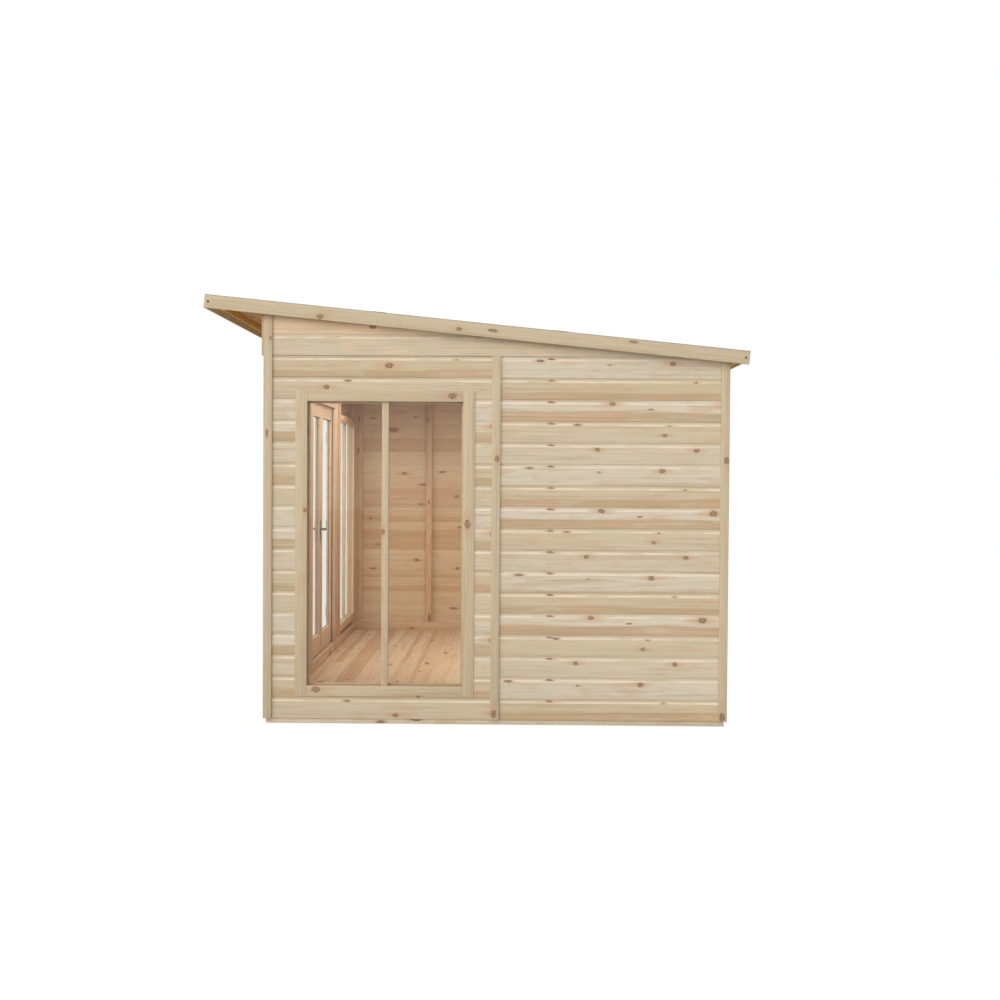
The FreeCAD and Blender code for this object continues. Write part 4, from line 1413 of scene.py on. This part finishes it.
@dataclass(frozen=True)
class Screw:
    """A countersunk screw in a face that looks along X.

    head_share is the head's thickness and bore_share the boring blank's, both in sunk depths.
    """

    place: Vector
    side: int
    radius: float = 5.0 * MM
    sunk: float = 1.2 * MM
    head_share: float = 0.8
    bore_share: float = 5.0
    seat_margin: float = 1.2 * MM
    slot_width: float = 1.4 * MM
    slot_length: float = 5.2 * MM

    @classmethod
    def in_bargeboards(cls, inset: float = 24 * MM, drop: float = 34 * MM) -> list["Screw"]:
        """The screws at both ends of both bargeboards.

        Args:
            inset: Their distance from a board's end.
            drop: Their distance below its top.

        Returns:
            The screws, in the boards' outer faces.
        """
        boards = Box.of_node("bargeboards")
        fall = math.tan(roof_pitch())
        return [
            cls(Vector((x, y, boards.high.z - drop - fall * (y - boards.low.y))), 1 if x > 0 else -1)
            for x in (boards.low.x, boards.high.x)
            for y in (boards.low.y + inset, boards.high.y - inset)
        ]

    def recess(self) -> Piece:
        """The blank that bores the screw's seat."""
        return Bench.disc("recess", self.place, self.radius + self.seat_margin,
                          self.bore_share * self.sunk, (0, math.pi / 2, 0))

    def head(self) -> Piece:
        """Model the screw's head, with the driver's cross in it.

        Returns:
            The head.
        """
        depth = self.head_share * self.sunk
        centre = self.place - Vector((self.side * (self.sunk + depth / 2), 0, 0))
        head = Bench.disc("screw_head", centre, self.radius, depth, (0, math.pi / 2, 0))
        middle = self.place - Vector((self.side * self.sunk, 0, 0))
        for across, up in ((self.slot_width, self.slot_length), (self.slot_length, self.slot_width)):
            reach = Vector((self.sunk, across / 2, up / 2))
            Bench.cut(head, [Bench.slab("slot", Box(middle - reach, middle + reach))])
        return head


@dataclass(frozen=True)
class Dressing:
    """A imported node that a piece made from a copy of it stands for, and what the piece gets.

    seen means that it has the end wall's own knots, and sloped that its grain follows the roof.
    """

    piece: str
    node: str
    finish: Timber | Metal
    slot: Slot
    body: Body = Body.ROOT
    seen: bool = False
    sloped: bool = False

    @property
    def even(self) -> bool:
        """Whether its timber was picked for an even tone."""
        return self.slot in (Slot.JOINERY, Slot.COVER, Slot.FRAME)


TIMBERS = (
    Dressing("bearers", "floor_bearers", BEARER, Slot.BEARER),
    Dressing("bottom_plate_timber", "bottom_plates", FRAMING, Slot.FRAME),
    Dressing("top_plate_timber", "top_plates", FRAMING, Slot.FRAME),
    Dressing("stud_timber", "wall_studs", FRAMING, Slot.FRAME),
    Dressing("window_rail_timber", "window_rails", FRAMING, Slot.FRAME),
    Dressing("door_head_timber", "door_head", FRAMING, Slot.FRAME),
    Dressing("upper_stud_timber", "upper_studs", FRAMING, Slot.FRAME),
    Dressing("header_rail_timber", "header_rail", FRAMING, Slot.FRAME),
    Dressing("rafter_timber", "rafters", RAFTER, Slot.FRAME, sloped=True),
    Dressing("rear_rail_timber", "rear_roof_rail", FRAMING, Slot.FRAME),
    Dressing("roof_batten_timber", "roof_battens", RAFTER, Slot.FRAME),
    Dressing("door_post_timber", "door_posts", DOOR, Slot.JOINERY),
    Dressing("door_sill_timber", "door_sill", DOOR, Slot.JOINERY),
    Dressing("door_stop_timber", "door_stops", DOOR, Slot.JOINERY),
    Dressing("window_bead_timber", "window_beads", JOINERY, Slot.JOINERY),
    Dressing("window_face_boards_front_left", "front_left_window_frame", JOINERY, Slot.JOINERY),
    Dressing("window_face_boards_front_right", "front_right_window_frame", JOINERY, Slot.JOINERY),
    Dressing("window_face_boards_end", "window_end_window_frame", JOINERY, Slot.JOINERY, seen=True),
    Dressing("corner_strip_timber", "corner_strips", COVER, Slot.COVER, seen=True),
    Dressing("joint_strip_timber", "joint_strips", COVER, Slot.COVER, seen=True),
    Dressing("header_board_timber", "header_board", COVER, Slot.CLADDING),
    Dressing("bargeboard_timber", "bargeboards", COVER, Slot.COVER, seen=True, sloped=True),
    Dressing("fascia_timber", "fascias", COVER, Slot.COVER),
    Dressing("left_leaf_timber", "left_door_frame", DOOR, Slot.JOINERY, Body.LEFT_DOOR),
    Dressing("right_leaf_timber", "right_door_frame", DOOR, Slot.JOINERY, Body.RIGHT_DOOR),
    Dressing("left_leaf_beads", "left_door_beads", DOOR, Slot.JOINERY, Body.LEFT_DOOR),
    Dressing("right_leaf_beads", "right_door_beads", DOOR, Slot.JOINERY, Body.RIGHT_DOOR),
)
METALWORK = (
    Dressing("lever_handle", "door_lever", HANDLE, Slot.HANDLE, Body.LEVER),
    Dressing("lock_back_plates", "lock_plates", HANDLE, Slot.HANDLE, Body.RIGHT_DOOR),
    Dressing("left_leaf_hinges", "left_door_hinges", ZINC, Slot.HINGE, Body.LEFT_DOOR),
    Dressing("right_leaf_hinges", "right_door_hinges", ZINC, Slot.HINGE, Body.RIGHT_DOOR),
    Dressing("post_hinge_halves", "post_hinges", ZINC, Slot.HINGE),
)


def finishes(dressings: Iterable[Dressing]) -> dict[Timber | Metal, Material]:
    """Build each finish of some pieces once.

    Args:
        dressings: The pieces.

    Returns:
        The materials by finish.
    """
    return {kind: kind.material() for kind in dict.fromkeys(dressing.finish for dressing in dressings)}


@dataclass
class EasedTimber:
    """Planed timbers of the frame, the joinery and the covers, with their arrises eased."""

    arris: float = 1.2 * MM

    def build(self) -> None:
        """Dress every timber that isn't a board."""
        materials = finishes(TIMBERS)
        pitch = roof_pitch()
        for timber in TIMBERS:
            piece = Bench.copy_of(timber.piece, timber.node)
            Bench.ease(piece, self.arris)
            if timber.node == "bargeboards":
                Bench.cut(piece, [screw.recess() for screw in Screw.in_bargeboards()])
            Grain(timber.piece).mark(piece, knots=END_WALL_KNOTS if timber.seen else (),
                                     pitch=pitch if timber.sloped else 0.0, even=timber.even)
            Bench.hand_over(piece, (materials[timber.finish],), timber.slot, timber.body, [timber.node])


@dataclass
class FloorBoards:
    """Tongued floorboards along the room, with their ends butted over the bearers."""

    cover: float = 112 * MM
    groove: float = 1.2 * MM
    bays: int = 6
    joint_rows: int = 4
    joint_step: int = 2
    knot_spacing: float = 0.9

    def build(self) -> None:
        """Lay the floor."""
        deck = Box.of_node("floor_deck")
        spacing = Box.of_node("floor_bearers").size.x / self.bays
        count = math.ceil(deck.size.y / self.cover)
        pieces = []
        for row in range(self.joint_rows):
            joint = deck.low.x + spacing * (1 + row * self.joint_step % (self.bays - 1))
            low = deck.low.y + row * self.cover
            for start, end in ((deck.low.x, joint), (joint, deck.high.x)):
                board = Bench.slab(f"floorboard_{row}_{start:.1f}", Box(
                    Vector((start + FIT, low, deck.low.z)),
                    Vector((end - FIT, low + self.cover - FIT, deck.high.z)),
                ))
                Bench.ease(board, self.groove, 1)
                rows = len(range(row, count, self.joint_rows))
                Bench.repeat(board, rows, (0, self.cover * self.joint_rows, 0))
                pieces.append(board)
        floor = Bench.join("floorboards", pieces)
        Bench.trim(floor, deck.high, (0, 1, 0))
        Grain("floor").mark(floor, Axis.X, knot_spacing=self.knot_spacing)
        Bench.smooth(floor)
        Bench.hand_over(floor, (FLOORING.material(),), Slot.FLOOR, nodes=["floor_deck"])


@dataclass
class Roof:
    """Roof boards along the length, and mineral felt in three laid strips with nailed laps."""

    pitch: float = field(default_factory=roof_pitch)
    boards: int = 28
    board_thickness: float = 12 * MM
    groove: float = 1.5 * MM
    knot_spacing: float = 1.0
    strips: int = 3
    sheet_rounding: float = 0.5 * MM
    lap: float = 75 * MM
    lap_thickness: float = 1.6 * MM
    lap_rounding: float = 0.6 * MM
    nail_radius: float = 5 * MM
    nail_thickness: float = 1.2 * MM
    nail_rounding: float = 0.4 * MM
    nail_lift: float = 0.4 * MM
    nail_spacing: float = 75 * MM

    def build(self) -> None:
        """Board the roof and lay its felt."""
        self._lay_boards()
        self._lay_felt()

    def _on_slope(self, piece: Piece, eaves: Vector) -> None:
        """Tip a piece that was made level from the origin, and carry it to the eaves.

        Args:
            piece: The piece.
            eaves: Where the origin comes to lie.
        """
        piece.rotation_euler = (-self.pitch, 0, 0)
        piece.location = eaves
        Bench.settle(piece)

    def _lay_boards(self) -> None:
        """Model the tongued boards of the deck."""
        deck = Box.of_node("roof_deck")
        thickness = self.board_thickness
        run = (deck.size.y - thickness * math.sin(self.pitch)) / math.cos(self.pitch)
        cover = run / self.boards
        box = Box(Vector((deck.low.x, 0, 0)), Vector((deck.high.x, cover - FIT, thickness)))
        board = Bench.slab("roof_boards", box)
        Bench.ease(board, self.groove, 1)
        Bench.repeat(board, self.boards, (0, cover, 0))
        self._on_slope(board, Vector((0, deck.low.y, deck.high.z - thickness * math.cos(self.pitch))))
        Grain("roof").mark(board, Axis.X, knot_spacing=self.knot_spacing)
        Bench.hand_over(board, (ROOFING.material(),), Slot.ROOF, nodes=["roof_deck"])

    def _lay_felt(self) -> None:
        """Model the felt, its laps and the nails that hold them."""
        felt = Box.of_node("roof_felt")
        sheet = Bench.copy_of("felt_sheet", "roof_felt")
        Bench.ease(sheet, self.sheet_rounding, 1)
        strip = felt.size.y / math.cos(self.pitch) / self.strips
        top = Vector((0, felt.low.y, felt.high.z))
        pieces = [sheet]
        nails = []
        for number in range(1, self.strips):
            end = strip * number
            lap = Bench.slab(f"felt_lap_{number}", Box(
                Vector((felt.low.x + FIT, end - self.lap, -MM)),
                Vector((felt.high.x - FIT, end, self.lap_thickness)),
            ))
            Bench.ease(lap, self.lap_rounding)
            self._on_slope(lap, top)
            pieces.append(lap)
            nails.append(self._nail_row(felt, end - self.lap / 3, top))
        Bench.hand_over(Bench.join("felt_covering", pieces), (FELT.material(),), Slot.FELT,
                        nodes=["roof_felt"])
        heads = Bench.join("felt_nails", nails)
        Bench.smooth(heads)
        Bench.hand_over(heads, (ZINC.material(),), Slot.HINGE)

    def _nail_row(self, felt: Box, place: float, top: Vector) -> Piece:
        """Model a row of flat nail heads along a lap.

        Args:
            felt: The felt's box.
            place: The row's distance down the slope.
            top: The felt's upper front edge.

        Returns:
            The row as one mesh.
        """
        centre = (felt.low.x + self.nail_spacing / 2, place, self.lap_thickness + self.nail_lift)
        nail = Bench.disc(f"felt_nail_{place:.1f}", centre, self.nail_radius, self.nail_thickness, sides=12)
        Bench.ease(nail, self.nail_rounding)
        Bench.repeat(nail, int(felt.size.x / self.nail_spacing), (self.nail_spacing, 0, 0))
        self._on_slope(nail, top)
        return nail


@dataclass
class Ironmongery:
    """Hinges, lever, lock plates and the screws that show."""

    shading_angle: float = 35.0

    def build(self) -> None:
        """Dress the metal pieces."""
        materials = finishes(METALWORK)
        for metal in METALWORK:
            piece = Bench.copy_of(metal.piece, metal.node)
            Bench.smooth(piece, self.shading_angle)
            Bench.hand_over(piece, (materials[metal.finish],), metal.slot, metal.body, [metal.node])
        heads = Bench.join("bargeboard_screws", [screw.head() for screw in Screw.in_bargeboards()])
        Bench.smooth(heads)
        Bench.hand_over(heads, (SCREW.material(),), Slot.HINGE)


@dataclass
class Panes:
    """The sheets of glass in the windows and the leaves."""

    nodes: tuple[str, ...] = ("window_glass", "left_door_glass", "right_door_glass")

    def build(self) -> None:
        """Give the panes their glass."""
        glass = GLASS.material()
        for node in self.nodes:
            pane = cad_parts[node]
            pane.data.materials.clear()
            pane.data.materials.append(glass)
            log.info("%s: glass", node)


@dataclass(frozen=True)
class Lamp:
    """A lamp that no camera and no mirror sees.

    toward points from what is lit to the lamp. size is a sun's angle in radians or the side
    of a square softbox.
    """

    name: str
    kind: LampKind
    power: float
    toward: tuple[float, float, float]
    size: float
    place: tuple[float, float, float] = (0.0, 0.0, 0.0)

    def hang(self) -> None:
        """Put the lamp in the scene."""
        light = bpy.data.lights.new(self.name, self.kind.value)
        light.energy = self.power
        if self.kind is LampKind.SUN:
            light.angle = self.size
        else:
            light.size = self.size
        lamp = bpy.data.objects.new(self.name, light)
        bpy.context.scene.collection.objects.link(lamp)
        lamp.location = self.place
        lamp.rotation_euler = Vector(self.toward).to_track_quat("Z", "Y").to_euler()
        lamp.visible_camera = False
        lamp.visible_glossy = False
        lamp.visible_transmission = False


@dataclass
class Studio:
    """A pale floor, soft light and a camera square to the end wall that has the window."""

    camera_place: tuple[float, float, float] = (8.5912, 0.0897, 1.3279)
    camera_yaw: float = 0.5699
    camera_pitch: float = 1.2311
    camera_roll: float = 0.3736
    focal_mm: float = 46.61
    sky: float = 0.36
    floor_half: float = 40.0
    floor_colour: str = "#bcbbb8"
    floor_glow: float = 1.12
    glow_share: float = 0.85
    lamps: tuple[Lamp, ...] = (
        Lamp("end_key", LampKind.SUN, 2.08, (0.85, -0.30, 0.20), 1.2),
        Lamp("front_fill", LampKind.SUN, 1.1, (0.25, -0.90, 0.35), 1.2),
        Lamp("far_fill", LampKind.SUN, 2.1, (-0.6, 0.6, 0.5), 1.4),
        Lamp("room_end", LampKind.SOFTBOX, 10.0, (1.0, 0.0, 0.1), 1.2, (1.00, 0.2, 1.20)),
        Lamp("room_top", LampKind.SOFTBOX, 23.5, (0.0, 0.0, 1.0), 1.6, (-0.2, -0.34, 1.85)),
    )

    def build(self) -> None:
        """Set up the floor, the light and the camera."""
        self._floor()
        self._light()
        self._camera()
        bpy.context.scene.view_settings.view_transform = "Standard"

    def _floor(self) -> None:
        """Lay a plain pale floor that stays white to the camera outside the shadow."""
        floor = Bench.blank("studio_floor", bpy.ops.mesh.primitive_plane_add, size=2 * self.floor_half,
                            location=(0, 0, -MM))
        material, tree = new_material("plain_studio_floor")
        direct = add_node(tree, "LightPath", out="Is Camera Ray")
        seen = add_node(tree, "Math", {0: direct, 1: self.glow_share}, operation="MULTIPLY")
        matt = add_node(tree, "BsdfDiffuse", {"Color": linear(self.floor_colour)})
        glow = add_node(tree, "Emission", {"Color": (1, 1, 1, 1), "Strength": self.floor_glow})
        shader = add_node(tree, "MixShader", {0: seen, 1: matt, 2: glow})
        add_node(tree, "OutputMaterial", {"Surface": shader})
        floor.data.materials.append(material)

    def _light(self) -> None:
        """Light evenly from the sky and softly from above, and brighten the room."""
        world = bpy.data.worlds.new("soft_studio")
        world.use_nodes = True
        tree = world.node_tree
        tree.nodes.clear()
        rays = add_node(tree, "LightPath").node.outputs
        direct = rays["Is Camera Ray"]
        for kind in ("Is Glossy Ray", "Is Transmission Ray"):
            direct = add_node(tree, "Math", {0: direct, 1: rays[kind]}, operation="MAXIMUM")
        strength = add_node(tree, "MapRange", {0: direct, 1: 0.0, 2: 1.0, 3: self.sky, 4: 1.0})
        back = add_node(tree, "Background", {"Color": (1, 1, 1, 1), "Strength": strength})
        add_node(tree, "OutputWorld", {"Surface": back})
        bpy.context.scene.world = world
        for lamp in self.lamps:
            lamp.hang()

    def _camera(self) -> None:
        """Stand the camera where the end wall is seen square-on."""
        yaw, pitch, roll = map(math.radians, (self.camera_yaw, self.camera_pitch, self.camera_roll))
        look = Vector((-math.cos(yaw) * math.cos(pitch), -math.sin(yaw) * math.cos(pitch), -math.sin(pitch)))
        level = look.cross(Vector((0, 0, 1))).normalized()
        upright = level.cross(look)
        right = level * math.cos(roll) + upright * math.sin(roll)
        up = upright * math.cos(roll) - level * math.sin(roll)
        data = bpy.data.cameras.new("end_view")
        data.lens = self.focal_mm
        data.sensor_width = 36.0
        camera = bpy.data.objects.new("end_view", data)
        bpy.context.scene.collection.objects.link(camera)
        turn = Matrix((right, up, -look)).transposed()
        camera.matrix_world = Matrix.Translation(self.camera_place) @ turn.to_4x4()
        bpy.context.scene.camera = camera


def main() -> None:
    """Build the summerhouse's looks, part by part."""
    logging.basicConfig(level=logging.INFO, format="%(message)s")
    for part in (Shiplap(), EasedTimber(), FloorBoards(), Roof(), Ironmongery(), Panes(), Studio()):
        part.build()
        log.info("%s done", type(part).__name__)


if __name__ == "__main__":
    main()
